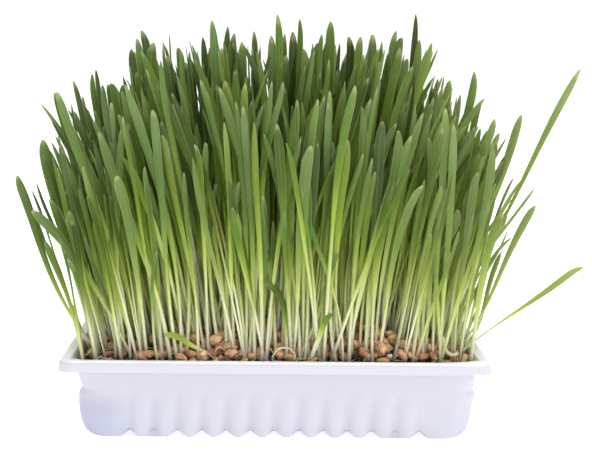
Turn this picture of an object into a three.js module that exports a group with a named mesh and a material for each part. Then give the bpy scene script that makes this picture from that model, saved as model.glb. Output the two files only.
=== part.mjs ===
// A tray of growing wheatgrass: a thin fluted plastic tray, its bed of soil and roots, tufts of young
// wheat fanning out above the rim, the blades that hang out furthest, and the grains, perlite and root
// clod that lie on the soil.
//
// Millimetres. +X is the tray's length, +Y its depth and +Z up. The origin is the middle of the flat
// floor's underside, so the tray stands on z = 0.

import * as THREE from "three";

// ---------------------------------------------------------------- driving dimensions

const TRAY_LENGTH = 190; // over the rim, along X
const TRAY_DEPTH = 125; // over the rim, along Y
const TRAY_HEIGHT = 36; // floor's underside to the rim's top
const SKIN = 0.9; // thickness of the formed sheet
const RIM_RADIUS = 6; // the rim's outer corners in plan
const RIM_UNDERSIDE = TRAY_HEIGHT - SKIN;
const LIP_DEPTH = 5; // the rim's turned-down edge

const FLUTE_PITCH = 10.75;
const FLUTE_DEPTH = 2.4; // how deep the grooves between flutes are
const FLUTES_LONG = 12; // flutes on a long wall
const FLUTES_SHORT = 6; // flutes on a short wall
const WEB_FROM_MIDDLE = 5 * FLUTE_PITCH;
const RIM_LIFT = 0.9; // the soft sheet's front right corner is sprung up by this much

const SOIL_CROWN = 34.6; // height of the soil's middle
const GRASS_FOOT = SOIL_CROWN + 0.4;
const GRASS_LENGTH = 152; // tallest tuft above its foot
const BED_LENGTH = 148; // sown area, along X
const BED_DEPTH = 84; // sown area, along Y
const TUFTS_LONG = 6;
const TUFTS_DEEP = 4;
const FAN_X = 0.46; // share by which the grass spreads at its full length
const FAN_Y = 0.5;

const GRAIN = new THREE.Vector3(3.4, 1.8, 1.6); // half sizes of a wheat grain

// ---------------------------------------------------------------- materials

const material = (color, roughness) =>
  new THREE.MeshStandardMaterial({ color, roughness, metalness: 0 });

const trayPlastic = material(0xe6e4f1, 0.4);
const soilCrumb = material(0x4a3726, 0.95);
const youngGrass = material(0x84a554, 0.6);
const leafBlade = material(0x7d9c4c, 0.55);
const paleLeaf = material(0xb9c766, 0.6);
const wheatGrain = material(0xb98554, 0.65);
const perliteWhite = material(0xe9e7df, 0.9);
const rootFibre = material(0x6d5138, 0.95);

// ---------------------------------------------------------------- geometry helpers

const half = (size) => size / 2;
const smooth = THREE.MathUtils.smoothstep;
const place = (x, y, z) => new THREE.Vector3(x, y, z);

// A closed surface from rings of equal length, first ring lowest or innermost. Each end is closed by
// a flat triangulated cap, or by one apex point.
function loft(rings, { apex = null } = {}) {
  const count = rings[0].length;
  const points = rings.flat();
  const faces = [];
  for (let row = 0; row + 1 < rings.length; row += 1) {
    for (let i = 0; i < count; i += 1) {
      const a = row * count + i;
      const b = row * count + ((i + 1) % count);
      faces.push(a, b, b + count, a, b + count, a + count);
    }
  }
  const cap = THREE.ShapeUtils.triangulateShape(rings[0].map(flatten), []);
  for (const [a, b, c] of cap) faces.push(a, c, b);
  const last = (rings.length - 1) * count;
  if (apex) {
    points.push(apex);
    for (let i = 0; i < count; i += 1) {
      faces.push(last + i, last + ((i + 1) % count), points.length - 1);
    }
  } else {
    const top = THREE.ShapeUtils.triangulateShape(rings.at(-1).map(flatten), []);
    for (const [a, b, c] of top) faces.push(last + a, last + b, last + c);
  }
  return new THREE.BufferGeometry().setFromPoints(points).setIndex(faces);
}

const flatten = (point) => new THREE.Vector2(point.x, point.y);

// Places from -limit to limit in equal steps.
function spread(limit, steps) {
  return Array.from({ length: steps + 1 }, (_, i) => limit * ((2 * i) / steps - 1));
}

// The stations of a rounded rectangle, anticlockwise from its front left corner. Each has its place in
// plan, its outward direction, and how far along its straight side it lies (null on a corner).
// marksLong and marksShort give the stations between the ends of a straight side of that half length.
function roundedRectangle(a, b, radius, marksLong, marksShort, cornerSteps) {
  const sides = [
    { angle: -90, run: a - radius, reach: b, marks: marksLong },
    { angle: 0, run: b - radius, reach: a, marks: marksShort },
    { angle: 90, run: a - radius, reach: b, marks: marksLong },
    { angle: 180, run: b - radius, reach: a, marks: marksShort },
  ];
  const stations = [];
  for (const { angle, run, reach, marks } of sides) {
    const turn = THREE.MathUtils.degToRad(angle);
    const out = new THREE.Vector2(Math.cos(turn), Math.sin(turn));
    const along = new THREE.Vector2(-out.y, out.x);
    for (const t of [-run, ...marks(run), run]) {
      const at = out.clone().multiplyScalar(reach).addScaledVector(along, t);
      stations.push({ at, out: out.clone(), along: Math.abs(t) < run ? t : null });
    }
    const centre = out.clone().multiplyScalar(reach - radius).addScaledVector(along, run);
    for (let step = 1; step < cornerSteps; step += 1) {
      const around = out.clone().rotateAround(new THREE.Vector2(), (Math.PI / 2) * (step / cornerSteps));
      stations.push({ at: centre.clone().addScaledVector(around, radius), out: around, along: null });
    }
  }
  return stations;
}

// ---------------------------------------------------------------- tray

// The underside of the sheet, from the flat floor out, up the wall and round the rim: inset from the
// rim's outer edge along X and Y, height, corner radius in plan, and how deep the flutes are cut there.
const SHEET_PROFILE = [
  { x: 27.5, y: 26.5, z: 0, radius: 2.5, flute: 0 },
  { x: 24, y: 23, z: 0, radius: 4, flute: 1 },
  { x: 17, y: 16.5, z: 0, radius: 9, flute: 1 },
  { x: 12, y: 12, z: 1.5, radius: 10, flute: 1 },
  { x: 9, y: 9, z: 4.9, radius: 10, flute: 1 },
  { x: 7.4, y: 7.4, z: 10.5, radius: 10, flute: 1 },
  { x: 6.9, y: 6.9, z: 17, radius: 10, flute: 1 },
  { x: 7.2, y: 7.2, z: 19.6, radius: 10, flute: 0.6 },
  { x: 8.3, y: 8.3, z: 21.8, radius: 9.5, flute: 0 },
  { x: 6.3, y: 6.3, z: 32.2, radius: 8.5, flute: 0 },
  { x: 4.6, y: 4.6, z: RIM_UNDERSIDE - 0.2, radius: 7.5, flute: 0 },
  { x: 1.4, y: 1.4, z: RIM_UNDERSIDE, radius: 6.5, flute: 0 },
  { x: SKIN, y: SKIN, z: TRAY_HEIGHT - LIP_DEPTH, radius: RIM_RADIUS, flute: 0 },
];

// Rounded flutes with narrower grooves between them: the groove's depth at a place along a wall that
// has this many flutes. Grooves are a whole number of pitches from the middle.
function grooveDepth(along, count) {
  if (along === null || Math.abs(along) > half(count * FLUTE_PITCH) + 1e-6) return 0;
  const wave = Math.cos((2 * Math.PI * along) / FLUTE_PITCH);
  return FLUTE_DEPTH * half(1 + wave) ** 1.3;
}

// The long walls' outermost grooves but one stop short under the floor, where a web closes them.
function webbed(along, count, level) {
  const fromWeb = Math.abs(Math.abs(along) - WEB_FROM_MIDDLE);
  return count === FLUTES_LONG && level.z === 0 && fromWeb < half(FLUTE_PITCH);
}

// Unit normals of the profile, pointing to the sheet's upper side, as (inward, up).
function profileNormals(profile) {
  return profile.map((_, i) => {
    const before = profile[Math.max(i - 1, 0)];
    const after = profile[Math.min(i + 1, profile.length - 1)];
    return new THREE.Vector2(after.z - before.z, before.x - after.x).normalize();
  });
}

// How far the sheet is sprung up at a place, all of it near the rim's front right corner.
function sprung(x, y, z) {
  return RIM_LIFT * smooth(x, 70, half(TRAY_LENGTH)) * smooth(-y, 35, half(TRAY_DEPTH)) * smooth(z, 28, 35);
}

function trayGeometry() {
  const stepsPerFlute = 3;
  const marks = (count) => (run) => {
    const fluted = half(count * FLUTE_PITCH);
    const besideFlutes = THREE.MathUtils.lerp(fluted, run, 0.42);
    return [-besideFlutes, ...spread(fluted, count * stepsPerFlute), besideFlutes];
  };
  const normals = profileNormals(SHEET_PROFILE);
  const ring = (level, normal, offset) => {
    const inset = offset * normal.x;
    const a = half(TRAY_LENGTH) - level.x - inset;
    const b = half(TRAY_DEPTH) - level.y - inset;
    const stations = roundedRectangle(
      a, b, level.radius, marks(FLUTES_LONG), marks(FLUTES_SHORT), 4,
    );
    return stations.map(({ at, out, along }) => {
      const count = Math.abs(out.y) > Math.abs(out.x) ? FLUTES_LONG : FLUTES_SHORT;
      const cut = webbed(along, count, level) ? 0 : level.flute * grooveDepth(along, count);
      const x = at.x - out.x * cut * normal.x;
      const y = at.y - out.y * cut * normal.x;
      return place(x, y, level.z + (offset + cut) * normal.y + sprung(x, y, level.z));
    });
  };
  const under = SHEET_PROFILE.map((level, i) => ring(level, normals[i], 0));
  const upper = SHEET_PROFILE.map((level, i) => ring(level, normals[i], SKIN)).reverse();
  return loft([...under, ...upper]);
}

// ---------------------------------------------------------------- soil

// The block of soil and roots, from its flat bottom on the floor's ribs, up the walls and over the
// rounded shoulder.
const SOIL_PROFILE = [
  { a: 77.5, b: 45.5, z: 3.7, radius: 8 },
  { a: 80.9, b: 48.4, z: 6.8, radius: 8 },
  { a: 83.2, b: 50.7, z: 11.5, radius: 8 },
  { a: 85.2, b: 52.7, z: 28, radius: 8 },
  { a: 83.2, b: 51, z: 30.6, radius: 8 },
  { a: 77.5, b: 46.6, z: 33.4, radius: 8 },
  { a: 68, b: 38, z: SOIL_CROWN, radius: 8 },
];

function soilGeometry() {
  const rings = SOIL_PROFILE.map(({ a, b, z, radius }) =>
    roundedRectangle(a, b, radius, () => [0], () => [0], 3).map(({ at }) => place(at.x, at.y, z)),
  );
  return loft(rings);
}

// ---------------------------------------------------------------- grass

// Grass fans out as it rises: where a place in the bed ends up at a height above the foot.
function fanned(x, y, height) {
  const rise = height / GRASS_LENGTH;
  return place(x * (1 + FAN_X * rise), y * (1 + FAN_Y * rise), GRASS_FOOT + height);
}

// The tufts' height falls off towards the ends and the front.
function tuftHeight(x, y) {
  const toEnds = (Math.abs(x) / half(BED_LENGTH)) ** 2;
  const toFront = smooth(-y, 0, half(BED_DEPTH));
  return GRASS_LENGTH * (1 - 0.24 * toEnds - 0.16 * toFront);
}

// One tuft: narrow at the stems, widest at two thirds of its height, and drawn in to a point.
function tuftGeometry(x, y) {
  const cell = place(BED_LENGTH / TUFTS_LONG, BED_DEPTH / TUFTS_DEEP, 0).multiplyScalar(0.5);
  const height = tuftHeight(x, y);
  const levels = [
    { share: 0, width: 0.66 },
    { share: 0.3, width: 0.82 },
    { share: 0.66, width: 0.92 },
    { share: 0.88, width: 0.66 },
  ];
  const rings = levels.map(({ share, width }) =>
    Array.from({ length: 8 }, (_, i) => {
      const turn = (Math.PI / 4) * (i + 0.5);
      const bulge = width / Math.cos(Math.PI / 8);
      const across = THREE.MathUtils.clamp(Math.cos(turn) * bulge, -width, width);
      const along = THREE.MathUtils.clamp(Math.sin(turn) * bulge, -width, width);
      return fanned(x + cell.x * across, y + cell.y * along, height * share);
    }),
  );
  return loft(rings, { apex: fanned(x, y, height) });
}

// One blade: a flat four-sided strip along a curve through its foot, bend and tip.
function bladeGeometry({ foot, bend, tip, width }) {
  const curve = new THREE.CatmullRomCurve3([foot, ...bend, tip].map((p) => place(...p)));
  const steps = 7;
  const thickness = 0.5;
  const across = place(0, 0, 1).cross(curve.getPoint(1).sub(curve.getPoint(0))).normalize();
  const widthAt = (t) => width * (0.5 + 0.5 * smooth(t, 0, 0.45)) * (1 - smooth(t, 0.7, 1) * 0.8);
  const rings = Array.from({ length: steps }, (_, i) => {
    const t = i / steps;
    const at = curve.getPoint(t);
    const face = across.clone().cross(curve.getTangent(t)).normalize();
    const wide = across.clone().multiplyScalar(half(widthAt(t)));
    face.multiplyScalar(half(thickness));
    return [wide, face, wide.clone().negate(), face.clone().negate()].map((o) => o.clone().add(at));
  });
  return strip(rings, curve.getPoint(1));
}

// A closed strip of four-sided rings that runs to a point.
function strip(rings, tip) {
  const points = [...rings.flat(), tip];
  const faces = [];
  for (let row = 0; row + 1 < rings.length; row += 1) {
    for (let i = 0; i < 4; i += 1) {
      const a = row * 4 + i;
      const b = row * 4 + ((i + 1) % 4);
      faces.push(a, b + 4, b, a, a + 4, b + 4);
    }
  }
  const last = (rings.length - 1) * 4;
  for (let i = 0; i < 4; i += 1) faces.push(last + ((i + 1) % 4), last + i, points.length - 1);
  faces.push(0, 1, 2, 0, 2, 3);
  return new THREE.BufferGeometry().setFromPoints(points).setIndex(faces);
}

// The blades that reach furthest out of the tufts.
const OUTER_BLADES = {
  blade_left_low: {
    foot: [-81, -26, 33], bend: [[-92, -26, 47], [-106, -26, 80]], tip: [-118, -27, 113], width: 4.4,
  },
  blade_left_front: {
    foot: [-64, -46, 35], bend: [[-78, -50, 64], [-90, -52, 83]], tip: [-107, -54, 100], width: 4.2,
  },
  blade_left_high: {
    foot: [-80, 2, 33], bend: [[-91, 0, 60], [-101, -3, 94]], tip: [-109, -6, 128], width: 5,
  },
  blade_right_long: {
    foot: [80, 12, 33], bend: [[98, 6, 75], [115, 0, 110]], tip: [140, -8, 162], width: 3.6,
  },
  blade_right_mid: {
    foot: [80, -16, 33], bend: [[90, -20, 68], [104, -24, 91]], tip: [117, -26, 110], width: 4,
  },
  blade_right_curved: {
    foot: [81, -27, 33], bend: [[94, -29, 52], [104, -30, 76]], tip: [116, -30, 103], width: 3.8,
  },
  blade_right_low: {
    foot: [80, -38, 33], bend: [[94, -36, 44], [113, -33, 57]], tip: [139, -31, 75], width: 3.4,
  },
  blade_right_high: {
    foot: [80, 26, 33], bend: [[92, 24, 63], [105, 20, 99]], tip: [116, 17, 141], width: 4.6,
  },
  blade_front_left: {
    foot: [-57, -46, 35], bend: [[-60, -58, 74], [-63, -66, 98]], tip: [-68, -78, 118], width: 4.4,
  },
  blade_front_mid: {
    foot: [8, -46, 35], bend: [[10, -57, 78], [11, -66, 108]], tip: [13, -76, 132], width: 4.4,
  },
  blade_front_right: {
    foot: [46, -46, 35], bend: [[50, -58, 72], [54, -67, 96]], tip: [60, -79, 116], width: 4.2,
  },
  blade_back_left: {
    foot: [-46, 46, 35], bend: [[-52, 58, 80], [-56, 67, 112]], tip: [-62, 78, 140], width: 4.4,
  },
  blade_back_mid: {
    foot: [4, 46, 35], bend: [[2, 58, 84], [0, 67, 118]], tip: [-4, 77, 148], width: 4.6,
  },
  blade_back_right: {
    foot: [50, 46, 35], bend: [[56, 58, 76], [62, 67, 106]], tip: [70, 79, 132], width: 4.2,
  },
  fallen_leaf: {
    foot: [-33, -48, 37], bend: [[-40, -49, 43]], tip: [-49, -50, 46], width: 4,
  },
};

// ---------------------------------------------------------------- what lies on the soil

// Wheat grains: place in plan, height of the centre and turn about +Z.
const GRAINS = [
  [-50, -45, 20], [-37, -45, -35], [-19, -45, 60], [-10, -45, 10], [2, -45, 82], [22, -45, 35],
  [36, -45, -20], [66, -45, 50], [-58, 45, 15], [-12, 45, -40], [30, 45, 25], [-77, -14, 75],
];
const GRAIN_HEIGHT = 36.2;

function grainGeometry() {
  return new THREE.SphereGeometry(1, 8, 6).scale(GRAIN.x, GRAIN.y, GRAIN.z);
}

// Lumps of perlite: place and radius.
const PERLITE = [
  [42, -46, 35.6, 1.5], [51, -46, 35.6, 1.3], [-28, -46, 35.6, 1.2], [78, 8, 35.6, 1.5],
];

// A clod of root and soil pushed up at the right end.
const CLOD = { centre: [80.4, -3, 39], radii: [3.4, 5.5, 4.6] };

// ---------------------------------------------------------------- assembly

const group = new THREE.Group();

function add(name, geometry, look, parent = group) {
  const mesh = new THREE.Mesh(geometry, look);
  mesh.name = name;
  parent.add(mesh);
  return mesh;
}

add("tray", trayGeometry(), trayPlastic);
add("soil", soilGeometry(), soilCrumb);

const cellLong = BED_LENGTH / TUFTS_LONG;
const cellDeep = BED_DEPTH / TUFTS_DEEP;
for (let row = 0; row < TUFTS_DEEP; row += 1) {
  for (let column = 0; column < TUFTS_LONG; column += 1) {
    const x = (column + 0.5) * cellLong - half(BED_LENGTH);
    const y = (row + 0.5) * cellDeep - half(BED_DEPTH);
    add(`tuft_${row + 1}_${column + 1}`, tuftGeometry(x, y), youngGrass);
  }
}

for (const [name, blade] of Object.entries(OUTER_BLADES)) {
  add(name, bladeGeometry(blade), name === "fallen_leaf" ? paleLeaf : leafBlade);
}

GRAINS.forEach(([x, y, turn], i) => {
  const grain = add(`grain_${i + 1}`, grainGeometry(), wheatGrain);
  grain.position.set(x, y, GRAIN_HEIGHT);
  grain.rotation.z = THREE.MathUtils.degToRad(turn);
});

PERLITE.forEach(([x, y, z, radius], i) => {
  add(`perlite_${i + 1}`, new THREE.IcosahedronGeometry(radius, 0), perliteWhite).position.set(x, y, z);
});

const clod = add("root_clod", new THREE.IcosahedronGeometry(1, 1), rootFibre);
clod.position.set(...CLOD.centre);
clod.scale.set(...CLOD.radii);

export default group;
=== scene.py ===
"""A tray of growing wheatgrass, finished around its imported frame.

The fluted plastic tray, the bed of soil with its grains and roots, and over a thousand leaves of young
wheat that fan out above the rim. Metres, +X along the tray, +Y to its back, +Z up; the origin is the
middle of the floor's underside.
"""

import math

import bmesh
import bpy
from mathutils import Matrix, Vector, noise


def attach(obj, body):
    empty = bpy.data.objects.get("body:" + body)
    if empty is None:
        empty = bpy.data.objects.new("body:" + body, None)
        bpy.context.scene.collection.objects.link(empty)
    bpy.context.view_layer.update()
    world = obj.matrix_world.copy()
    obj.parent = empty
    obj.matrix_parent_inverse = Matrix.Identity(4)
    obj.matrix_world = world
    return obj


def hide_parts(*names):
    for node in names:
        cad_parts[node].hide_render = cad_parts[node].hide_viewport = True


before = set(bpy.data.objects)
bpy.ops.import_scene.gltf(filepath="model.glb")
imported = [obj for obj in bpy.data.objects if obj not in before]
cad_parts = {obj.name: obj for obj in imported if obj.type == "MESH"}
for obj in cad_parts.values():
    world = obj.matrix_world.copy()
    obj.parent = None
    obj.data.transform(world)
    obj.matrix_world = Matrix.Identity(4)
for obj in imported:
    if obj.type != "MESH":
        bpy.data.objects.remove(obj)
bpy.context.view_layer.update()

MM = 0.001
FULL_TURN = 2 * math.pi

# ---------------------------------------------------------------- sizes, in millimetres

TRAY_LENGTH = 190
TRAY_DEPTH = 125
SKIN = 0.9  # thickness of the formed sheet
FLUTE_PITCH = 10.75
FLUTE_DEPTH = 3
FLUTES_LONG = 12
FLUTES_SHORT = 6
RIM_LIFT = 0.9  # how far the rim's front right corner is sprung up
END_BULGE = 1.7  # how far the right end's wall is pushed out
END_DENT = 0.8  # how far the left end's wall is pressed in

SOWN_LENGTH = 174
SOWN_DEPTH = 102
TUFTS_LONG = 6
TUFTS_DEEP = 4
FOOT_HEIGHT = 33.2  # stems start just under the soil's surface
EDGE_DROP = 5.5  # how much lower they start where the soil falls away at the tray's ends
GRASS_HEIGHT = 141
PLANT_SPACING = 3.1
LEAF_WIDTH = 3.3
STEM_WIDTH = 1.45
FAN_X = 24  # how far sideways the longest grass would lean, very far out from the middle
FAN_EASE = 25  # the distance from the middle at which it leans out half as far
FAN_Y = 0.4  # share by which it spreads to the front and back
LEAN_X = 21  # the most that a plant strays from that sideways, unless it is a straggler
LEAN_Y = 11  # and to the front or back
STRAGGLERS = 0.34  # share of the plants that are
STRAGGLE = 1.7  # how much further they stray, as a share
SECOND_LEAVES = 0.5  # share of the plants that have one
SECOND_LEAN_X = 12  # the most that it strays from the first
SECOND_LEAN_Y = 10
KINK = 5  # the most that a leaf's upper bend is off its line
HOOKED_LEAVES = 0.12  # share of the leaves whose tip hooks over
TUFT_SEGMENTS = 13  # steps along a leaf
PLACED_SEGMENTS = 20
OUTER_SEGMENTS = 26

# Seeds. The tufts, the layers of grains, the loose perlite and the lumps count up from theirs.
TUFT_SEED = 11
CRUMB_SEED = 3
GRAIN_SEED = 5
ROOTLET_SEED = 7
SEED_STEP = 61.0  # from one seed's first draw to the next one's
MOST_POINTS = 400000.0  # points tried on a square metre before those too near each other go
LOOSE_PERLITE_SEED = 9
LUMP_SEED = 20
CLOD_SEED = 9

# ---------------------------------------------------------------- node helpers

SOCKETS = {
    "geometry": "NodeSocketGeometry",
    "number": "NodeSocketFloat",
    "whole": "NodeSocketInt",
    "vector": "NodeSocketVector",
    "colour": "NodeSocketColor",
    "material": "NodeSocketMaterial",
}


def arithmetic(operation, swapped=False):
    """What a value does for one sign, with the other term first if they are swapped."""

    def method(value, other):
        terms = (other, value) if swapped else (value, other)
        return value.nodes.maths(operation, *terms)

    return method


class Value:
    """A node's output. Arithmetic on it adds the maths nodes."""

    __add__, __radd__ = arithmetic("ADD"), arithmetic("ADD", True)
    __sub__, __rsub__ = arithmetic("SUBTRACT"), arithmetic("SUBTRACT", True)
    __mul__, __rmul__ = arithmetic("MULTIPLY"), arithmetic("MULTIPLY", True)
    __truediv__, __rtruediv__ = arithmetic("DIVIDE"), arithmetic("DIVIDE", True)
    __pow__ = arithmetic("POWER")

    def __init__(self, nodes, socket):
        self.nodes, self.socket = nodes, socket


def find_socket(sockets, key):
    """A node's socket by place or by name, leaving out those that its settings switch off."""
    if isinstance(key, int):
        return sockets[key]
    return next(s for s in sockets if s.enabled and s.name == key)


class Made:
    """A node just added, whose outputs are values by name or by place."""

    def __init__(self, nodes, node):
        self.nodes, self.node = nodes, node

    def __getitem__(self, key):
        return Value(self.nodes, find_socket(self.node.outputs, key))


class Nodes:
    """A node tree with short ways to add to it."""

    def __init__(self, tree):
        self.tree = tree

    def inlet(self):
        """The tree's inputs by name."""
        sockets = self.tree.nodes.new("NodeGroupInput").outputs
        return {s.name: Value(self, s) for s in sockets if s.name}

    def join(self, socket, value):
        """Links a value to a socket, or sets the socket to a constant."""
        if isinstance(value, Value):
            self.tree.links.new(value.socket, socket)
        else:
            socket.default_value = value

    def add(self, kind, inputs=None, **settings):
        """Adds a node with these settings and then these inputs."""
        node = self.tree.nodes.new(kind)
        for name, value in settings.items():
            setattr(node, name, value)
        for key, value in (inputs or {}).items():
            self.join(find_socket(node.inputs, key), value)
        return Made(self, node)

    def maths(self, operation, *terms):
        """A maths node, or a vector one if any term is a vector."""
        vector = any(
            isinstance(t, (tuple, Vector)) or isinstance(t, Value) and t.socket.type == "VECTOR"
            for t in terms
        )
        node = self.tree.nodes.new("ShaderNodeVectorMath" if vector else "ShaderNodeMath")
        node.operation = operation
        for socket, term in zip(node.inputs, terms):
            if vector and isinstance(term, (int, float)):
                term = (term, term, term)
            self.join(socket, term)
        number = not vector or operation in ("DOT_PRODUCT", "LENGTH")
        return Value(self, node.outputs["Value" if number else "Vector"])

    def unsigned(self, value):
        """A number, or each part of a vector, without its sign."""
        return self.maths("ABSOLUTE", value)

    def other(self, draw, times):
        """Another number from 0 to 1, made out of a random one."""
        return self.maths("FRACT", draw * times)

    def clamp(self, value):
        """The value kept between 0 and 1."""
        return self.add("ShaderNodeClamp", {"Value": value})[0]

    def smooth(self, value, start, end, low=0.0, high=1.0):
        """Low up to start, high past end, and a smooth step between them."""
        limits = {"Value": value, "From Min": start, "From Max": end, "To Min": low, "To Max": high}
        return self.add("ShaderNodeMapRange", limits, interpolation_type="SMOOTHSTEP")["Result"]

    def blend(self, share, a, b):
        """a where share is 0 and b where it is 1, for numbers and vectors."""
        return a + (b - a) * share

    def pack(self, x, y, z=0.0):
        return self.add("ShaderNodeCombineXYZ", {"X": x, "Y": y, "Z": z})[0]

    def parts(self, vector):
        node = self.add("ShaderNodeSeparateXYZ", {0: vector})
        return node["X"], node["Y"], node["Z"]

    def unit(self, vector):
        return self.maths("NORMALIZE", vector)

    def noise(self, vector, scale, detail=2.0, output="Fac"):
        inputs = {"Vector": vector, "Scale": scale, "Detail": detail}
        return self.add("ShaderNodeTexNoise", inputs)[output]


class GeometryNodes(Nodes):
    """A geometry tree with named inputs, each a kind of socket or a number for its default."""

    def __init__(self, name, **inputs):
        super().__init__(bpy.data.node_groups.new(name, "GeometryNodeTree"))
        new_socket = self.tree.interface.new_socket
        for label, value in {**inputs, "Material": "material"}.items():
            kind = "whole" if isinstance(value, int) else "number"
            kind = value if isinstance(value, str) else kind
            socket = new_socket(label.replace("_", " "), in_out="INPUT", socket_type=SOCKETS[kind])
            if value != kind:
                socket.default_value = value
        new_socket("Geometry", in_out="OUTPUT", socket_type=SOCKETS["geometry"])
        self.given = self.inlet()
        self.draws = 0

    def finish(self, geometry):
        """Ends the tree in Realize Instances and Set Material."""
        inputs = {"Geometry": self.realized(geometry), "Material": self.given["Material"]}
        made = self.add("GeometryNodeSetMaterial", inputs)[0]
        outlet = self.tree.nodes.new("NodeGroupOutput")
        self.tree.links.new(made.socket, outlet.inputs["Geometry"])
        return self.tree

    def realized(self, geometry):
        return self.add("GeometryNodeRealizeInstances", {"Geometry": geometry})[0]

    def position(self):
        return self.add("GeometryNodeInputPosition")[0]

    def index(self):
        return self.add("GeometryNodeInputIndex")[0]

    def read(self, name, data_type="FLOAT"):
        """A named attribute."""
        inputs = {"Name": name}
        return self.add("GeometryNodeInputNamedAttribute", inputs, data_type=data_type)["Attribute"]

    def read_vectors(self, *names):
        return [self.read(name, "FLOAT_VECTOR") for name in names]

    def store(self, geometry, values, domain="POINT", data_type=None):
        """Writes values on a geometry under their names."""
        for name, value in values.items():
            kind = data_type or ("FLOAT_VECTOR" if value.socket.type == "VECTOR" else "FLOAT")
            inputs = {"Geometry": geometry, "Name": name, "Value": value}
            node = self.add("GeometryNodeStoreNamedAttribute", inputs, data_type=kind, domain=domain)
            geometry = node["Geometry"]
        return geometry

    def random(self, low=0.0, high=1.0):
        """A random number for each point; each use is another draw."""
        self.draws += 1
        draw = self.given["Seed"] * SEED_STEP + float(self.draws)
        inputs = {"Min": low, "Max": high, "ID": self.index(), "Seed": draw}
        return self.add("FunctionNodeRandomValue", inputs, data_type="FLOAT")["Value"]

    def centred(self, reach):
        """A random number for each point from -reach to reach, likeliest near 0."""
        return (self.random() + self.random() - 1.0) * reach

    def chance(self, share):
        """1 on a random share of the points and 0 on the others."""
        return self.maths("LESS_THAN", self.random(), share)

    def any_angle(self):
        return self.random(0.0, FULL_TURN)

    def rotation(self, angles):
        return self.add("FunctionNodeEulerToRotation", {"Euler": angles})[0]

    def round_about(self, angle, reach):
        """The level place at a distance and an angle."""
        return self.maths("COSINE", angle) * reach, self.maths("SINE", angle) * reach

    def move_to(self, geometry, position):
        return self.add("GeometryNodeSetPosition", {"Geometry": geometry, "Position": position})[0]

    def push(self, geometry, by):
        return self.move_to(geometry, self.position() + by)

    def points(self, mesh):
        return self.add("GeometryNodeMeshToPoints", {"Mesh": mesh})[0]

    def strewn(self, base, spacing, share=1.0):
        """Points on a surface's upper side, no two nearer than the spacing."""
        up = self.parts(self.add("GeometryNodeInputNormal")["Normal"])[2]
        inputs = {
            "Mesh": base,
            "Distance Min": spacing,
            "Density Max": MOST_POINTS,
            "Density Factor": self.smooth(up, 0.3, 0.7) * share,
            "Seed": self.given["Seed"],
        }
        kind = "GeometryNodeDistributePointsOnFaces"
        return self.add(kind, inputs, distribute_method="POISSON")["Points"]

    def copies(self, points, shape, **settings):
        """Real copies of a shape on the points."""
        inputs = {"Points": points, "Instance": shape, **settings}
        return self.realized(self.add("GeometryNodeInstanceOnPoints", inputs)[0])

    def uneven(self, geometry, scale, detail, amount):
        """Pushes a surface in and out by noise."""
        away = self.noise(self.position(), scale, detail, "Color") - (0.5, 0.5, 0.5)
        return self.push(geometry, away * amount)

    def shade_smooth(self, geometry, sharp_over=None):
        """Smooth faces, with the edges that fold by more than this many degrees left sharp."""
        geometry = self.add("GeometryNodeSetShadeSmooth", {"Geometry": geometry})[0]
        if sharp_over is None:
            return geometry
        fold = self.add("GeometryNodeInputMeshEdgeAngle")[0]
        sharp = self.maths("GREATER_THAN", fold, math.radians(sharp_over))
        inputs = {"Geometry": geometry, "Selection": sharp, "Shade Smooth": False}
        return self.add("GeometryNodeSetShadeSmooth", inputs, domain="EDGE")[0]

    def forget(self, geometry, pattern):
        """Removes the attributes that only the tree itself needed."""
        inputs = {"Geometry": geometry, "Name": pattern}
        return self.add("GeometryNodeRemoveAttribute", inputs, pattern_mode="WILDCARD")[0]

    def leaves(self, leaf, **inputs):
        """Leaves grown by the leaf tree, with the inputs it shares with this tree passed on."""
        inputs = {label.replace("_", " "): value for label, value in inputs.items()}
        shared = {"Segments", "Material"} & (self.given.keys() - inputs.keys())
        inputs |= {label: self.given[label] for label in sorted(shared)}
        return self.add("GeometryNodeGroup", inputs, node_tree=leaf)["Geometry"]


def new_object(name, mesh):
    made = bpy.data.objects.new(name, mesh)
    bpy.context.scene.collection.objects.link(made)
    return made


def new_mesh(name, points, edges=(), faces=()):
    mesh = bpy.data.meshes.new(name)
    mesh.from_pydata(points, edges, faces)
    return mesh


def write(mesh, name, values, kind="FLOAT"):
    """Writes a named number or vector on each point of a mesh."""
    layer = mesh.attributes.new(name, kind, "POINT")
    layer.data.foreach_set("value" if kind == "FLOAT" else "vector", values)


def grown(name, tree, settings, base=None):
    """A new object with the plain mesh that a geometry tree makes, from a base mesh if it needs one."""
    maker = new_object(name, base or bpy.data.meshes.new(name))
    modifier = maker.modifiers.new("Grow", "NODES")
    modifier.node_group = tree
    for item in tree.interface.items_tree:
        if item.in_out == "INPUT" and item.name in settings:
            modifier[item.identifier] = settings[item.name]
    now = bpy.context.evaluated_depsgraph_get()
    mesh = bpy.data.meshes.new_from_object(
        maker.evaluated_get(now), preserve_all_data_layers=True, depsgraph=now
    )
    maker.modifiers.remove(modifier)
    maker.data = mesh
    mesh.name = name
    return maker


def placed(piece, slot, *nodes):
    """Puts a finished piece on the frame, in place of the nodes it stands for."""
    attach(piece, "root")
    if nodes:
        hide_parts(*nodes)
    return piece


def finished(name, mesh, material, slot, *nodes):
    """Places a mesh of one material."""
    mesh.materials.append(material)
    return placed(new_object(name, mesh), slot, *nodes)


# ---------------------------------------------------------------- material helpers


def paint(red, green, blue):
    """A colour given as screen values from 0 to 255."""
    linear = []
    for value in (red, green, blue):
        share = value / 255
        linear.append(((share + 0.055) / 1.055) ** 2.4 if value > 10 else share / 12.92)
    return (*linear, 1.0)


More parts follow.
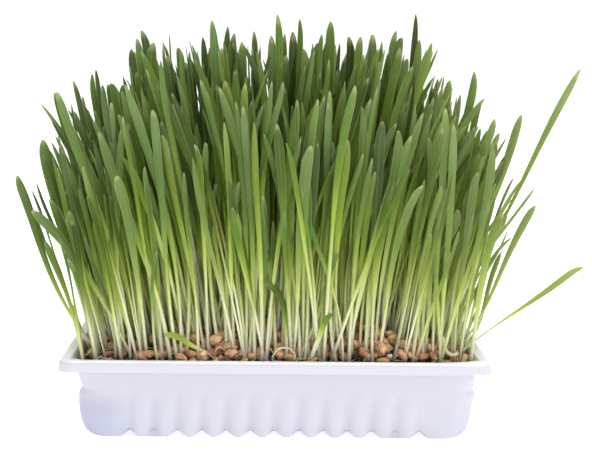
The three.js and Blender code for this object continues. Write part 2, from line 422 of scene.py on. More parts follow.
class Surface(Nodes):
    """A material's node tree around one Principled shader."""

    def __init__(self, name, **constants):
        self.material = bpy.data.materials.new(name)
        self.material.use_nodes = True
        super().__init__(self.material.node_tree)
        self.shader = self.tree.nodes["Principled BSDF"]
        for label, value in constants.items():
            self.set(label.replace("_", " "), value)

    def set(self, label, value):
        self.join(self.shader.inputs[label], value)

    def place(self):
        return self.add("ShaderNodeTexCoord")["Object"]

    def read(self, name, output="Fac"):
        return self.add("ShaderNodeAttribute", attribute_name=name)[output]

    def mix(self, share, a, b, blend_type="MIX"):
        inputs = {"Factor": share, "A": a, "B": b}
        return self.add("ShaderNodeMix", inputs, data_type="RGBA", blend_type=blend_type)["Result"]

    def ramp(self, value, stops):
        """A colour ramp with stops (place, colour)."""
        node = self.add("ShaderNodeValToRGB", {"Fac": value})
        bar = node.node.color_ramp
        for number, (place, colour) in enumerate(stops):
            stop = bar.elements[number] if number < 2 else bar.elements.new(place)
            stop.position = place
            stop.color = colour
        return node["Color"]

    def bump(self, height, strength, distance):
        inputs = {"Height": height, "Strength": strength, "Distance": distance}
        self.set("Normal", self.add("ShaderNodeBump", inputs)["Normal"])

    def mottled(self, mottle, colour, blotch, share, scale):
        """A colour broken up by blotches, and the blotches as a height."""
        inputs = {"Colour": colour, "Blotch": blotch, "Share": share, "Scale": scale}
        made = self.add("ShaderNodeGroup", inputs, node_tree=mottle)
        return made["Colour"], made["Height"]


def mottle_group():
    """Shader group: a colour broken up by coarse and fine blotches, and the blotches as a height."""
    tree = bpy.data.node_groups.new("Mottle", "ShaderNodeTree")
    inputs = {"Colour": "colour", "Blotch": "colour", "Share": "number", "Scale": "number"}
    outputs = {"Colour": "colour", "Height": "number"}
    for side, sockets in {"INPUT": inputs, "OUTPUT": outputs}.items():
        for label, kind in sockets.items():
            tree.interface.new_socket(label, in_out=side, socket_type=SOCKETS[kind])
    n = Nodes(tree)
    given = n.inlet()
    place = n.add("ShaderNodeTexCoord")["Object"]
    coarse = n.noise(place, given["Scale"], 3.0)
    fine = n.noise(place, given["Scale"] * 4.3, 2.0)
    height = coarse * 0.65 + fine * 0.35
    share = n.smooth(height, 0.36, 0.66) * given["Share"]
    mix = {"Factor": share, "A": given["Colour"], "B": given["Blotch"]}
    colour = n.add("ShaderNodeMix", mix, data_type="RGBA")["Result"]
    outlet = tree.nodes.new("NodeGroupOutput")
    tree.links.new(colour.socket, outlet.inputs["Colour"])
    tree.links.new(height.socket, outlet.inputs["Height"])
    return tree


# ---------------------------------------------------------------- materials


def leaf_finish(name, stops, shade, browned=0.0):
    """Young wheat: the stops run from the white stem to the tip, shade darkens some leaves, those at the
    bed's right end are painted paler as painted light, most low down, the margins get a painted
    highlight, and light comes through the blade."""
    s = Surface(name, Roughness=0.52, Specular_IOR_Level=0.2)
    along = s.read("along")
    across = s.read("across")
    tint = s.read("tint")
    streaks = s.noise(s.pack(across * 2.2 + tint * 31.0, along * 5.0 + tint * 17.0), 3.0)
    early = s.other(tint, 3.31) - 0.5
    base = s.ramp(along + (streaks - 0.5) * 0.12 + early * 0.2, stops)
    green = s.smooth(along, 0.2, 0.55)
    deep = s.smooth(s.other(tint, 7.13), 0.25, 1.0) * green
    colour = s.mix(deep, base, s.mix(0.85, base, shade, "MULTIPLY"))
    young = s.smooth(s.other(tint, 13.7), 0.7, 1.0) * green * 0.28
    matt = s.smooth(s.other(tint, 17.9), 0.7, 1.0) * green * 0.35
    x, _, z = s.parts(s.place())
    # Painted light: leaves at the bed's right end made paler, more so low down.
    paler = s.smooth(x, 46 * MM, 88 * MM) * s.smooth(z, 70 * MM, 110 * MM, 0.34, 0.16)
    from_rib = s.unsigned(across)
    rib = (1.0 - s.smooth(from_rib, 0.0, 0.14)) * green * 0.25
    # Painted highlight: the blade's margins made paler, as a rim light.
    edge = s.smooth(from_rib, 0.84, 1.0) * green * 0.55
    ripe = s.other(tint, 23.3)
    dry = s.smooth(along + (ripe - 1.0) * 0.03, 0.955, 0.985) * browned
    for share, tone in (
        (young, paint(178, 192, 78)),
        (matt, paint(114, 142, 98)),
        (paler, paint(196, 212, 118)),
        (rib, paint(168, 190, 110)),
        (edge, paint(176, 194, 122)),
        (dry, paint(214, 216, 160)),
    ):
        colour = s.mix(share, colour, tone)
    s.set("Base Color", colour)
    veins = s.maths("SINE", across * 24.0)
    s.bump(veins * 0.5 + streaks * 0.5, 0.2, 0.12 * MM)
    through = s.add("ShaderNodeBsdfTranslucent", {"Color": s.mix(0.4, colour, paint(170, 190, 50))})
    blade = Value(s, s.shader.outputs[0])
    both = s.add("ShaderNodeMixShader", {"Fac": 0.32, 1: blade, 2: through[0]})
    s.tree.links.new(both[0].socket, s.tree.nodes["Material Output"].inputs["Surface"])
    return s.material


def tray_finish(mottle):
    """Milky lilac plastic, with painted shade that makes it cooler and darker towards the bottom, most at
    the left corner, and a shade darker in the grooves; a painted highlight as a white edge to the rim;
    and a brown band above the soil that is soil stain and painted shade."""
    s = Surface("milky lilac plastic", Roughness=0.42, Specular_IOR_Level=0.45)
    place = s.place()
    x, y, z = s.parts(place)
    wash = s.noise(place, 22.0, 2.0)
    # Masks for painted shade on the lower walls, strongest at the left end.
    low = 1.0 - s.smooth(z + (wash - 0.5) * 9 * MM, 13 * MM, 21 * MM)
    washed_x = x + (wash - 0.5) * 12 * MM
    left = 1.0 - s.smooth(washed_x, -76 * MM, -62 * MM)
    fading = 1.0 - s.smooth(x, -76 * MM, -28 * MM)
    right = s.smooth(washed_x, 66 * MM, 84 * MM)
    far_x, far_y, _ = s.parts(s.unsigned(s.pack(x, y)))
    # Masks for painted shade: the flutes' grooves on the lower walls.
    waves = s.maths("COSINE", s.pack(x, y) * (FULL_TURN / FLUTE_PITCH / MM))
    wave_x, wave_y, _ = s.parts(waves)
    grooves = wave_x * s.smooth(far_y, 50 * MM, 53 * MM) * s.smooth(far_x, 66 * MM, 60 * MM)
    grooves = grooves + wave_y * s.smooth(far_x, 82 * MM, 85 * MM) * s.smooth(far_y, 34 * MM, 29 * MM)
    grooves = s.clamp(grooves * s.smooth(z, 23 * MM, 13 * MM))
    # The inner wall above the soil, where a darker brown band is painted: soil stain and painted shade.
    soil_stain_and_shade = s.smooth(far_x, 90.2 * MM, 89.4 * MM) * s.smooth(z, 29.5 * MM, 31 * MM)
    soil_stain_and_shade = soil_stain_and_shade * s.smooth(far_y, 57.6 * MM, 56.8 * MM)
    colour = paint(193, 191, 201)
    for share, tone in (
        (s.smooth(z, 26 * MM, 34 * MM), paint(195, 193, 202)),
        # Painted shade: the lower walls cooler and darker towards the left, darkest at the left corner, a
        # little darker at the right one.
        (low * fading * 0.5, paint(180, 190, 203)),
        (low * left * 0.75, paint(166, 168, 190)),
        (low * right * 0.35, paint(181, 182, 200)),
        # Painted shade: the grooves made a shade darker and cooler.
        (grooves * 0.24, paint(168, 172, 194)),
        # Painted highlight: the top of the rim made near white.
        (s.smooth(z, 35.1 * MM, 35.8 * MM), paint(248, 247, 251)),
        # Soil stain and painted shade on the inner wall above the soil.
        (soil_stain_and_shade * 0.85, paint(166, 150, 138)),
    ):
        colour = s.mix(share, colour, tone)
    clouded, height = s.mottled(mottle, colour, paint(190, 191, 206), 0.35, 34.0)
    s.set("Base Color", clouded)
    s.set("Roughness", 0.38 + height * 0.16)
    s.bump(height, 0.12, 0.4 * MM)
    return s.material


def soil_finish(mottle):
    """Dark damp soil with brown fibre in it."""
    s = Surface("damp soil", Roughness=0.95)
    earth, height = s.mottled(mottle, paint(40, 26, 14), paint(88, 62, 40), 0.9, 300.0)
    specks = s.smooth(s.noise(s.place(), 1300.0, 1.0), 0.63, 0.68) * 0.7
    s.set("Base Color", s.mix(specks, earth, paint(186, 164, 140)))
    s.bump(height + specks * 0.4, 0.9, 1.2 * MM)
    return s.material


def grain_finish(mottle):
    """Swollen, wrinkled wheat grains, from reddish brown to straw, paler at the germ, with pale flecks on
    the raised wrinkles that are partly dust and partly painted highlight.
    """
    s = Surface("wheat grain", Roughness=0.55)
    skin = s.ramp(s.read("tint"), GRAIN_STOPS)
    germ = s.smooth(s.read("along"), 0.45, 0.95)
    skin = s.mix(germ * 0.55, skin, paint(230, 208, 166))
    worn, height = s.mottled(mottle, skin, paint(126, 74, 46), 0.7, 360.0)
    creases = s.noise(s.place(), 2400.0, 1.0)
    # Pale flecks on the raised parts of the wrinkles: partly dust, partly painted highlight.
    pale = s.smooth(creases, 0.54, 0.68) * 0.55
    s.set("Base Color", s.mix(pale, worn, paint(240, 220, 190)))
    s.bump(height + creases * 0.4, 0.6, 0.7 * MM)
    return s.material


def dusty_finish(mottle, name, roughness, clean, dust, share, scale, bump, depth):
    """A pale thing, a little dirty: roots and perlite."""
    s = Surface(name, Roughness=roughness)
    colour, height = s.mottled(mottle, clean, dust, share, scale)
    s.set("Base Color", colour)
    s.bump(height, bump, depth)
    return s.material


GREEN_STOPS = (
    (0.0, paint(242, 234, 214)),
    (0.06, paint(247, 243, 222)),
    (0.2, paint(243, 245, 204)),
    (0.34, paint(226, 235, 150)),
    (0.5, paint(182, 206, 84)),
    (0.68, paint(115, 147, 42)),
    (0.88, paint(104, 132, 56)),
    (1.0, paint(130, 155, 88)),
)
PALE_STOPS = (
    (0.0, paint(222, 212, 168)),
    (0.3, paint(206, 216, 108)),
    (0.7, paint(190, 210, 84)),
    (1.0, paint(226, 230, 150)),
)
GRAIN_STOPS = (
    (0.0, paint(156, 96, 66)),
    (0.25, paint(192, 134, 98)),
    (0.5, paint(212, 162, 124)),
    (0.75, paint(222, 176, 116)),
    (1.0, paint(232, 198, 148)),
)

# ---------------------------------------------------------------- leaves

HALF_THICKNESS = 0.17  # of the flat blade, in millimetres
WAVE = 0.7  # how far its edges wave, in millimetres
WIDEST = 0.84  # where along the leaf it is widest
FLATTENING = 0.3  # share of the leaf over which the stem flattens into the blade
CREASE_ANGLE = 110  # edges that fold by more degrees stay sharp

# The leaf tree's inputs that a placed leaf brings with it.
LEAF_VECTORS = ("Low handle", "High handle", "Tip")
LEAF_NUMBERS = ("Leaf width", "Stem width", "Blade start", "Facing", "Twist", "Bluntness", "Tint")


def leaf_tree():
    """Geometry tree: one leaf on each point, along the cubic curve from the point past two handles to
    its tip. It is a round stem below, and a flat blade folded along its rib above."""
    n = GeometryNodes(
        "Leaf blades",
        Points="geometry",
        Low_handle="vector",
        High_handle="vector",
        Tip="vector",
        Leaf_width=LEAF_WIDTH * MM,
        Stem_width=STEM_WIDTH * MM,
        Blade_start=0.2,
        Facing="number",
        Twist="number",
        Bluntness=0.6,
        Tint="number",
        Segments=TUFT_SEGMENTS,
    )
    given = n.given
    points = given["Points"]
    count = n.add("GeometryNodeAttributeDomainSize", {"Geometry": points}, component="POINTCLOUD")
    count = count["Point Count"]
    shape = {
        "grow_foot": n.position(),
        "grow_low": given["Low handle"],
        "grow_high": given["High handle"],
        "grow_tip": given["Tip"],
        "grow_leaf": given["Leaf width"] * 0.5,
        "grow_stem": given["Stem width"] * 0.5,
        "grow_start": given["Blade start"],
        "grow_facing": given["Facing"],
        "grow_twist": given["Twist"],
        "grow_blunt": given["Bluntness"],
        "grow_number": n.index(),
        "tint": given["Tint"],
    }
    points = n.store(points, shape)

    # A four-sided spike, whose ring corners are the blade's two edges and the rib's two sides.
    size = {"Vertices": 4, "Radius Top": 0.0, "Radius Bottom": 1.0, "Depth": 1.0}
    size["Side Segments"] = given["Segments"]
    cone = n.add("GeometryNodeMeshCone", size, fill_type="NGON")
    x, y, z = n.parts(n.position())
    left = n.maths("MAXIMUM", 1.0 - z, 0.001)
    spike = n.store(cone["Mesh"], {"grow_map": cone["UV Map"]}, "CORNER")
    spike = n.store(spike, {"across": x / left, "grow_side": y / left, "along": 1.0 - left**1.8})
    leaves = n.copies(points, spike)

    t = n.read("along")
    foot, low, high, tip = n.read_vectors("grow_foot", "grow_low", "grow_high", "grow_tip")
    rest = 1.0 - t
    middle = foot * (rest**3.0) + low * (3.0 * t * rest * rest)
    middle = middle + high * (3.0 * t * t * rest) + tip * (t**3.0)
    ahead = (low - foot) * (rest * rest) + (high - low) * (2.0 * t * rest) + (tip - high) * (t * t)
    ahead = n.unit(ahead)
    turn = n.read("grow_facing") + n.read("grow_twist") * t
    level = n.pack(n.maths("COSINE", turn), n.maths("SINE", turn))
    side = n.unit(level - ahead * n.maths("DOT_PRODUCT", ahead, level))
    face = n.maths("CROSS_PRODUCT", ahead, side)

    # The blade opens slowly, is widest near its end, and closes in a rounded tip.
    start = n.read("grow_start")
    stem = n.read("grow_stem")
    tint = n.read("tint")
    opening = n.clamp((t - start) / (WIDEST - start)) ** 1.3
    reach = n.blend(opening, stem, n.read("grow_leaf"))
    blunt = n.read("grow_blunt")
    end = n.blend(blunt, 0.81, 0.945)
    to_end = n.clamp((t - end) / (1.0 - end))
    point = (1.0 - to_end**2.0) ** n.blend(blunt, 0.72, 0.5)
    skew = (n.other(tint, 9.3) - 0.5) * 1.5 * to_end**2.0
    flatness = n.smooth((t - start) / FLATTENING, 0.0, 1.0)
    thick = n.blend(flatness, stem, HALF_THICKNESS * MM) * point
    across = n.read("across")
    fold = n.blend(n.other(tint, 5.7), 0.15, 0.65) * flatness
    lifted = n.unsigned(across) * reach * point * fold
    wave = n.maths("SINE", t * 7.0 + tint * 40.0) * t * WAVE * MM
    out = side * (across * reach * point + reach * skew + wave)
    up = face * (n.read("grow_side") * thick + lifted - reach * point * fold * 0.4)
    leaves = n.move_to(leaves, middle + out + up)

    # Each leaf's own strip of the map that its look is baked on.
    columns = n.maths("CEIL", (count * 4.0) ** 0.5)
    rows = n.maths("CEIL", count / columns)
    number = n.read("grow_number") + 0.001
    map_x, map_y, _ = n.parts(n.read("grow_map", "FLOAT_VECTOR"))
    column = n.maths("FLOORED_MODULO", n.maths("FLOOR", number), columns)
    row = n.maths("FLOOR", number / columns)
    strip = n.pack((column + 0.04 + map_x * 0.92) / columns, (row + 0.02 + map_y * 0.96) / rows)
    leaves = n.store(leaves, {"OFBake": strip}, "CORNER", "FLOAT2")
    return n.finish(n.shade_smooth(n.forget(leaves, "grow_*"), CREASE_ANGLE))


def tuft_tree(leaf):
    """Geometry tree: the young wheat of one cell of the bed, one or two leaves to a plant."""
    n = GeometryNodes(
        "Wheat tuft",
        Cell_centre="vector",
        Cell_length="number",
        Cell_depth="number",
        Plant_spacing=PLANT_SPACING * MM,
        Foot_height=FOOT_HEIGHT * MM,
        Grass_height=GRASS_HEIGHT * MM,
        Fan_X=FAN_X * MM,
        Fan_ease=FAN_EASE * MM,
        Fan_Y=FAN_Y,
        Leaf_width=LEAF_WIDTH * MM,
        Stem_width=STEM_WIDTH * MM,
        Segments=TUFT_SEGMENTS,
        Seed="whole",
    )
    given = n.given
    size = {"Size X": given["Cell length"], "Size Y": given["Cell depth"]}
    cell = n.add("GeometryNodeMeshGrid", size | {"Vertices X": 8, "Vertices Y": 8})["Mesh"]
    cell = n.add("GeometryNodeTransform", {"Geometry": cell, "Translation": given["Cell centre"]})[0]

    # It is sown thinner towards the front, though less so at the bed's ends, and thins out a little
    # at their very edge.
    x, y, _ = n.parts(n.position())
    sown = n.smooth(y, -46 * MM, 12 * MM, 0.2, 1.0)
    sown = n.maths("MAXIMUM", sown, n.smooth(x, -58 * MM, -78 * MM, 0.2, 0.7))
    sown = n.maths("MAXIMUM", sown, n.smooth(x, 58 * MM, 78 * MM, 0.2, 0.4))
    sown = sown * n.smooth(n.unsigned(x), 74 * MM, 87 * MM, 1.0, 0.7)
    plants = n.strewn(cell, given["Plant spacing"], sown)

    # What both leaves of a plant share: how it leans, its height and how it is turned. Those at the
    # bed's ends stand stiffer.
    from_middle = n.unsigned(n.parts(n.position())[0])
    stray = 1.0 + n.chance(STRAGGLERS) * STRAGGLE
    stray = stray * n.smooth(from_middle, 40 * MM, 84 * MM, 1.0, 0.38)
    habit = {
        "grow_lean_x": n.centred(LEAN_X * MM) * stray,
        "grow_lean_y": n.centred(LEAN_Y * MM) * stray,
        "grow_rise": 1.0 - 0.34 * n.random() ** 1.9 - 0.2 * n.chance(0.08),
        "grow_turn": n.random(-1.0, 1.0),
    }
    plants = n.store(plants, habit)
    leaves = n.add("GeometryNodeDuplicateElements", {"Geometry": plants, "Amount": 2}, domain="POINT")
    points = n.store(leaves["Geometry"], {"grow_second": leaves["Duplicate Index"]})
    second = n.read("grow_second")
    lone = {"Geometry": points, "Selection": n.chance(1.0 - SECOND_LEAVES) * second}
    points = n.add("GeometryNodeDeleteGeometry", lone)[0]

    x, y, _ = n.parts(n.position())
    from_middle = n.unsigned(x)
    ends = n.smooth(from_middle, 26 * MM, 86 * MM)
    front = n.smooth(-1.0 * y, 2 * MM, 48 * MM)
    height = given["Grass height"] * (1.0 - 0.29 * ends - 0.12 * front)
    rise = n.read("grow_rise") * (1.0 - second * n.random(-0.02, 0.42))
    fan = x / (from_middle + given["Fan ease"]) * given["Fan X"]
    over_x = (fan + n.read("grow_lean_x") + second * n.centred(SECOND_LEAN_X * MM)) * rise
    fan = y * given["Fan Y"]
    over_y = (fan + n.read("grow_lean_y") + second * n.centred(SECOND_LEAN_Y * MM)) * rise
    drop = n.smooth(from_middle, 76 * MM, 87 * MM) * EDGE_DROP * MM
    tall = height * rise
    foot = n.pack(x, y, given["Foot height"] - drop)
    bow = n.random(0.12, 0.4)
    low = foot + n.pack(over_x * bow, over_y * bow, tall * 0.36)
    far = bow + 0.32
    high_x = over_x * far + n.centred(KINK * MM)
    high_y = over_y * far + n.centred(KINK * MM)
    high = foot + n.pack(high_x, high_y, tall * 0.7)
    hooked = n.chance(HOOKED_LEAVES) * tall
    over = n.pack(n.centred(0.14) * hooked, n.centred(0.14) * hooked, hooked * -0.07)

    # Most blades show their broad side to the front and back.
    facing = n.read("grow_turn") * (0.7 + n.chance(0.4) * 0.95)
    grass = n.leaves(
        leaf,
        Points=n.move_to(points, foot),
        Low_handle=low,
        High_handle=high,
        Tip=foot + n.pack(over_x, over_y, tall) + over,
        Leaf_width=given["Leaf width"] * n.random(0.6, 1.3) * (1.0 - second * 0.2),
        Stem_width=given["Stem width"] * n.random(0.72, 1.3) * (1.0 - second * 0.2),
        Blade_start=n.random(0.08, 0.46),
        Facing=facing + second * 0.6,
        Twist=n.centred(1.5),
        Bluntness=n.random() * 0.85,
        Tint=n.random(),
    )
    return n.finish(n.forget(grass, "grow_*"))


def listed_leaf_tree(leaf):
    """Geometry tree: leaves whose curves, widths and turns are written on the points of its base mesh."""
    n = GeometryNodes("Placed leaves", Base="geometry", Segments=PLACED_SEGMENTS)
    inputs = {label: n.read("leaf_" + label, "FLOAT_VECTOR") for label in LEAF_VECTORS}
    inputs |= {label: n.read("leaf_" + label) for label in LEAF_NUMBERS}
    leaves = n.leaves(leaf, Points=n.points(n.given["Base"]), **inputs)
    return n.finish(n.forget(leaves, "leaf_*"))


def handles(foot, first, second, tip):
    """The two handles of the cubic curve from foot to tip that passes through two bends."""
    foot, first, second, tip = (Vector(p) for p in (foot, first, second, tip))
    steps = [(first - foot).length, (second - first).length, (tip - second).length]
    t, u = steps[0] / sum(steps), (steps[0] + steps[1]) / sum(steps)

    def share(v):
        return 3 * v * (1 - v) ** 2, 3 * v * v * (1 - v)

    (a, b), (c, d) = share(t), share(u)
    at_t = first - foot * (1 - t) ** 3 - tip * t**3
    at_u = second - foot * (1 - u) ** 3 - tip * u**3
    det = a * d - b * c
    return (at_t * d - at_u * b) / det, (at_u * a - at_t * c) / det


class Leaf:
    """One placed leaf: its curve in millimetres, its widths and how it is turned."""

    def __init__(
        self, foot, bends, tip, width, facing=0.0, twist=0.4, tint=0.5, stem=STEM_WIDTH, start=0.2, blunt=0.7
    ):
        if len(bends) == 1:
            bends = [bends[0], [(p + q) / 2 for p, q in zip(bends[0], tip)]]
        low, high = handles(foot, *bends, tip)
        self.foot = Vector(foot) * MM
        self.vectors = low * MM, high * MM, Vector(tip) * MM
        self.numbers = width * MM, stem * MM, start, math.radians(facing), twist, blunt, tint


def placed_leaves(name, tree, leaves, material, segments=PLACED_SEGMENTS):
    """One object of placed leaves."""
    base = new_mesh(name + "_feet", [leaf.foot for leaf in leaves])
    for label, places in zip(LEAF_VECTORS, zip(*(leaf.vectors for leaf in leaves))):
        write(base, "leaf_" + label, [c for place in places for c in place], "FLOAT_VECTOR")
    for label, numbers in zip(LEAF_NUMBERS, zip(*(leaf.numbers for leaf in leaves))):
        write(base, "leaf_" + label, numbers)
    return grown(name, tree, {"Segments": segments, "Material": material}, base)


GOLDEN_SHARE = 0.6180339887  # steps of this share of a turn never fall together
TALL_FOOT = 0.84  # how far out a tall leaf's foot is, as a share of its tip's distance
TALL_BOW = 0.24  # how far it has leant out at its low bend, as a share
TALL_END = SOWN_LENGTH / 2 - 3  # no foot is further out
FRONT_ROWS = 8  # depth of the strip in which the front leaves stand


def spread_out(number):
    """A well spread sequence of numbers from 0 to 1."""
    return (number * GOLDEN_SHARE + 0.37) % 1.0


def evenly(number, reach):
    """A well spread sequence of numbers up to half of reach on both sides of 0."""
    return reach * (spread_out(number) - 0.5)


def seen_alike(x, z, plane, y):
    """The place at depth y that the camera sees where it sees x and z in an upright plane."""
    eye = Vector(CAMERA_PLACE) / MM
    further = (y - eye.y) / (plane - eye.y)
    return Vector((eye.x + (x - eye.x) * further, y, eye.z + (z - eye.z) * further))


def tall_leaf(number, x, z, width):
    """A leaf of the bed's middle known by its tip, which leans out from the middle of the bed."""
    y = TALL_PLANE + TALL_SPREAD * (2 * spread_out(number * 3) - 1)
    tip = seen_alike(x, z, TALL_PLANE, y)
    foot_x = min(max(tip.x * TALL_FOOT, -TALL_END), TALL_END)
    foot = Vector((foot_x, y / (1 + FAN_Y), FOOT_HEIGHT))
    rise = tip - foot
    bow = TALL_BOW + evenly(number * 5, 0.2)
    far = bow + 0.34
    low = foot + Vector((rise.x * bow, rise.y * bow, rise.z * 0.34))
    high = foot + Vector((rise.x * far, rise.y * far, rise.z * 0.68))
    return Leaf(
        foot, [low, high], tip, width,
        facing=evenly(number, 60), twist=evenly(number * 7, 1.2), tint=spread_out(number * 5),
        stem=min(STEM_WIDTH, width * 0.6),
        start=0.2 + 0.2 * spread_out(number * 11), blunt=0.6 + 0.4 * spread_out(number * 13),
    )


def front_leaf(number, look, foot_x, bend, tip, width):
    """A leaf of the bed's front edge, which passes through a bend and leans forward to its tip."""
    near = FRONT_PLANE - 1 + FRONT_ROWS * spread_out(number * 3)
    foot = Vector((foot_x, near, FOOT_HEIGHT))
    tip = seen_alike(*tip, FRONT_PLANE, near - 3 - 5 * spread_out(number * 7))
    bend = seen_alike(*bend, FRONT_PLANE, near + (tip.y - near) * 0.4)
    return Leaf(
        foot, [bend], tip, width * FRONT_SLIMNESS,
        facing=evenly(number, 36), twist=evenly(number * 5, 0.9), tint=LOOKS[look] + evenly(number, 0.004),
        stem=min(STEM_WIDTH * (0.8 + 0.5 * spread_out(number * 11)), width * 0.7),
        start=0.1 + 0.26 * spread_out(number * 13), blunt=0.2 + 0.7 * spread_out(number * 17),
    )


def side_leaf(number, look, foot_x, bends, tip, width):
    """A thin leaf that hangs out past the tray's end through two bends."""
    y = SIDE_PLANE + evenly(number * 3, 16)
    foot = Vector((foot_x, y, FOOT_HEIGHT - EDGE_DROP / 2))
    first, second, end = (seen_alike(*place, SIDE_PLANE, y) for place in (*bends, tip))
    return Leaf(
        foot, [first, second], end, width,
        facing=evenly(number, 50), twist=evenly(number * 5, 1.2), tint=LOOKS[look],
        stem=min(STEM_WIDTH, width * 0.7), blunt=0.3,
    )


# Tips of the tallest leaves as (x, z, width), from left to right, in one upright plane.
TALL_PLANE = 15
TALL_SPREAD = 18
TALL_TIPS = [
    (-106, 149, 4.2), (-98, 144, 1.4), (-96, 155, 3), (-94, 147, 3.4), (-88, 158, 3.2), (-87, 160, 3),
    (-83, 153, 4), (-78, 154, 5), (-74, 153, 4), (-71, 162, 1.2), (-69, 170, 4), (-67, 159, 4),
    (-66, 175, 3.6), (-63, 179, 4), (-61, 173, 5), (-54, 173, 1.5), (-53, 167, 4.6), (-51, 177, 1.2),
    (-47, 171, 4.2), (-44, 164, 4.6), (-42, 163, 4), (-35, 176, 4), (-33, 171, 1.5), (-30, 184, 4.6),
    (-25, 181, 4.6), (-22, 178, 4.6), (-17, 174, 4.2), (-12, 179, 5), (-2, 177, 4.6), (0, 187, 3.6),
    (3, 178, 3), (3, 168, 5), (8, 179, 4.6), (10, 185, 2.8), (14, 171, 4.6), (18, 172, 1.5), (20, 178, 3),
    (25, 184, 4.8), (28, 161, 3), (31, 158, 4), (34, 177, 4.6), (39, 177, 4.6), (43, 173, 3.6),
    (46, 178, 4.6), (49, 175, 2), (55, 180, 4.6), (57, 177, 5), (61, 167, 4), (65, 188, 5), (67, 176, 4),
    (70, 155, 3), (74, 154, 4), (79, 159, 1.4), (82, 157, 5), (88, 150, 4.6), (94, 161, 4), (97, 148, 4.6),
    (103, 139, 3.6),
]

# How a placed leaf is coloured: the tint that gives each look.
LOOKS = {"bright": 0.145, "light": 0.16, "plain": 0.225, "dark": 0.275, "grey": 0.891}

# Leaves of the front edge, in one upright plane: look, foot's x, bend (x, z), tip (x, z) and width.
FRONT_PLANE = -50
FRONT_SLIMNESS = 0.9
FRONT_LEAVES = [
    ("dark", -80, (-90, 108), (-93, 127), 2.6),
    ("light", -64, (-83, 117), (-96, 152), 4), ("light", -46, (-64, 98), (-78, 135), 4.5),
    ("plain", -58, (-72, 116), (-79, 140), 3), ("dark", -60, (-70, 125), (-76, 155), 3.2),
    ("grey", -71, (-71, 105), (-71, 148), 2.8), ("light", -68, (-70, 75), (-68, 137), 3.5),
    ("plain", -50, (-62, 114), (-68, 143), 3.6), ("grey", -42, (-55, 122), (-65, 156), 5),
    ("grey", -43, (-49, 85), (-53, 145), 4), ("plain", -20, (-36, 116), (-51, 156), 4),
    ("bright", -31, (-43, 100), (-50, 134), 4.2), ("dark", -40, (-45, 115), (-50, 140), 4),
    ("plain", -22, (-36, 122), (-44, 148), 3.8), ("grey", -50, (-54, 90), (-56, 112), 2.6),
    ("light", -52, (-54, 65), (-53, 83), 1.8), ("light", -34, (-37, 80), (-41, 118), 2.2),
    ("bright", -24, (-30, 90), (-31, 131), 3.5), ("dark", -28, (-29, 90), (-26, 113), 2.6),
    ("light", -12, (-22, 117), (-34, 158), 3.2), ("light", -4, (-15, 124), (-26, 155), 4),
    ("grey", -13, (-15, 115), (-17, 149), 4), ("grey", -9, (-12, 112), (-14, 147), 3.6),
    ("bright", -6, (-8, 100), (-10, 140), 3.2), ("light", -14, (-12, 75), (-12, 112), 2.8),
    ("light", -19, (-20, 88), (-17, 114), 3.8), ("grey", -6, (-5, 85), (-5, 108), 3),
    ("light", -12, (-6, 112), (-3, 158), 3.2), ("plain", 11, (1, 108), (-5, 135), 2.8),
    ("light", -4, (4, 102), (10, 134), 3), ("dark", 5, (1, 110), (-1, 137), 2),
    ("light", -3, (-4, 78), (2, 96), 2.2), ("light", 6, (7, 110), (8, 150), 3.8),
    ("dark", 9, (12, 112), (16, 143), 5), ("dark", 15, (16, 105), (18, 131), 4),
    ("plain", 13, (14, 80), (12, 124), 4.6), ("light", 30, (18, 87), (8, 112), 2.8),
    ("light", 3, (14, 106), (20, 152), 3.2), ("grey", 20, (22, 110), (23, 149), 4),
    ("plain", 25, (26, 105), (25, 132), 3.6), ("light", 8, (21, 62), (27, 84), 2.4),
    ("bright", 30, (27, 90), (31, 133), 4.6), ("light", 27, (30, 100), (37, 127), 2.8),
    ("light", 33, (37, 95), (41, 125), 2.6), ("bright", 34, (39, 90), (43, 119), 3.8),
    ("dark", 38, (43, 98), (47, 123), 3.4), ("dark", 36, (43, 118), (52, 140), 4),
    ("plain", 34, (36, 112), (38, 147), 4), ("dark", 40, (44, 112), (46, 141), 5),
    ("light", 32, (47, 100), (58, 135), 5.2), ("plain", 43, (48, 100), (54, 137), 4.4),
    ("light", 45, (53, 104), (63, 145), 5.4), ("plain", 66, (68, 95), (67, 134), 4.2),
    ("light", 53, (61, 92), (64, 116), 2.6), ("bright", 66, (67, 90), (72, 113), 2.8),
    ("light", 66, (70, 92), (74, 112), 2.2), ("grey", 70, (72, 108), (74, 147), 4),
    ("grey", 73, (76, 105), (78, 140), 3.8), ("plain", 67, (73, 87), (81, 102), 5),
    ("light", 79, (83, 84), (86, 101), 2.2), ("dark", 80, (84, 92), (88, 119), 4.2),
    ("plain", 82, (91, 105), (95, 132), 4), ("bright", 61, (64, 62), (68, 92), 3.2),
    ("light", 74, (71, 68), (70, 90), 2.6),
]
# A short blade that bends over to the left in front of the stems.
SHORT_LEAF = dict(
    foot=(5, -47, 34), bends=[(4, -49, 56), (1, -50, 64)], tip=(-5, -51, 71),
    width=3.6, facing=20, twist=0.2, tint=0.225, stem=1.4, start=0.1, blunt=0.5,
)
# A pale young shoot that has not opened.
PALE_SHOOT = dict(
    foot=(16, -52, 36), bends=[(18.5, -53, 44), (21.5, -54, 51)], tip=(24, -54, 57),
    width=2.8, facing=0, twist=0.1, tint=0.305, stem=1.9, start=0.1, blunt=0.6,
)

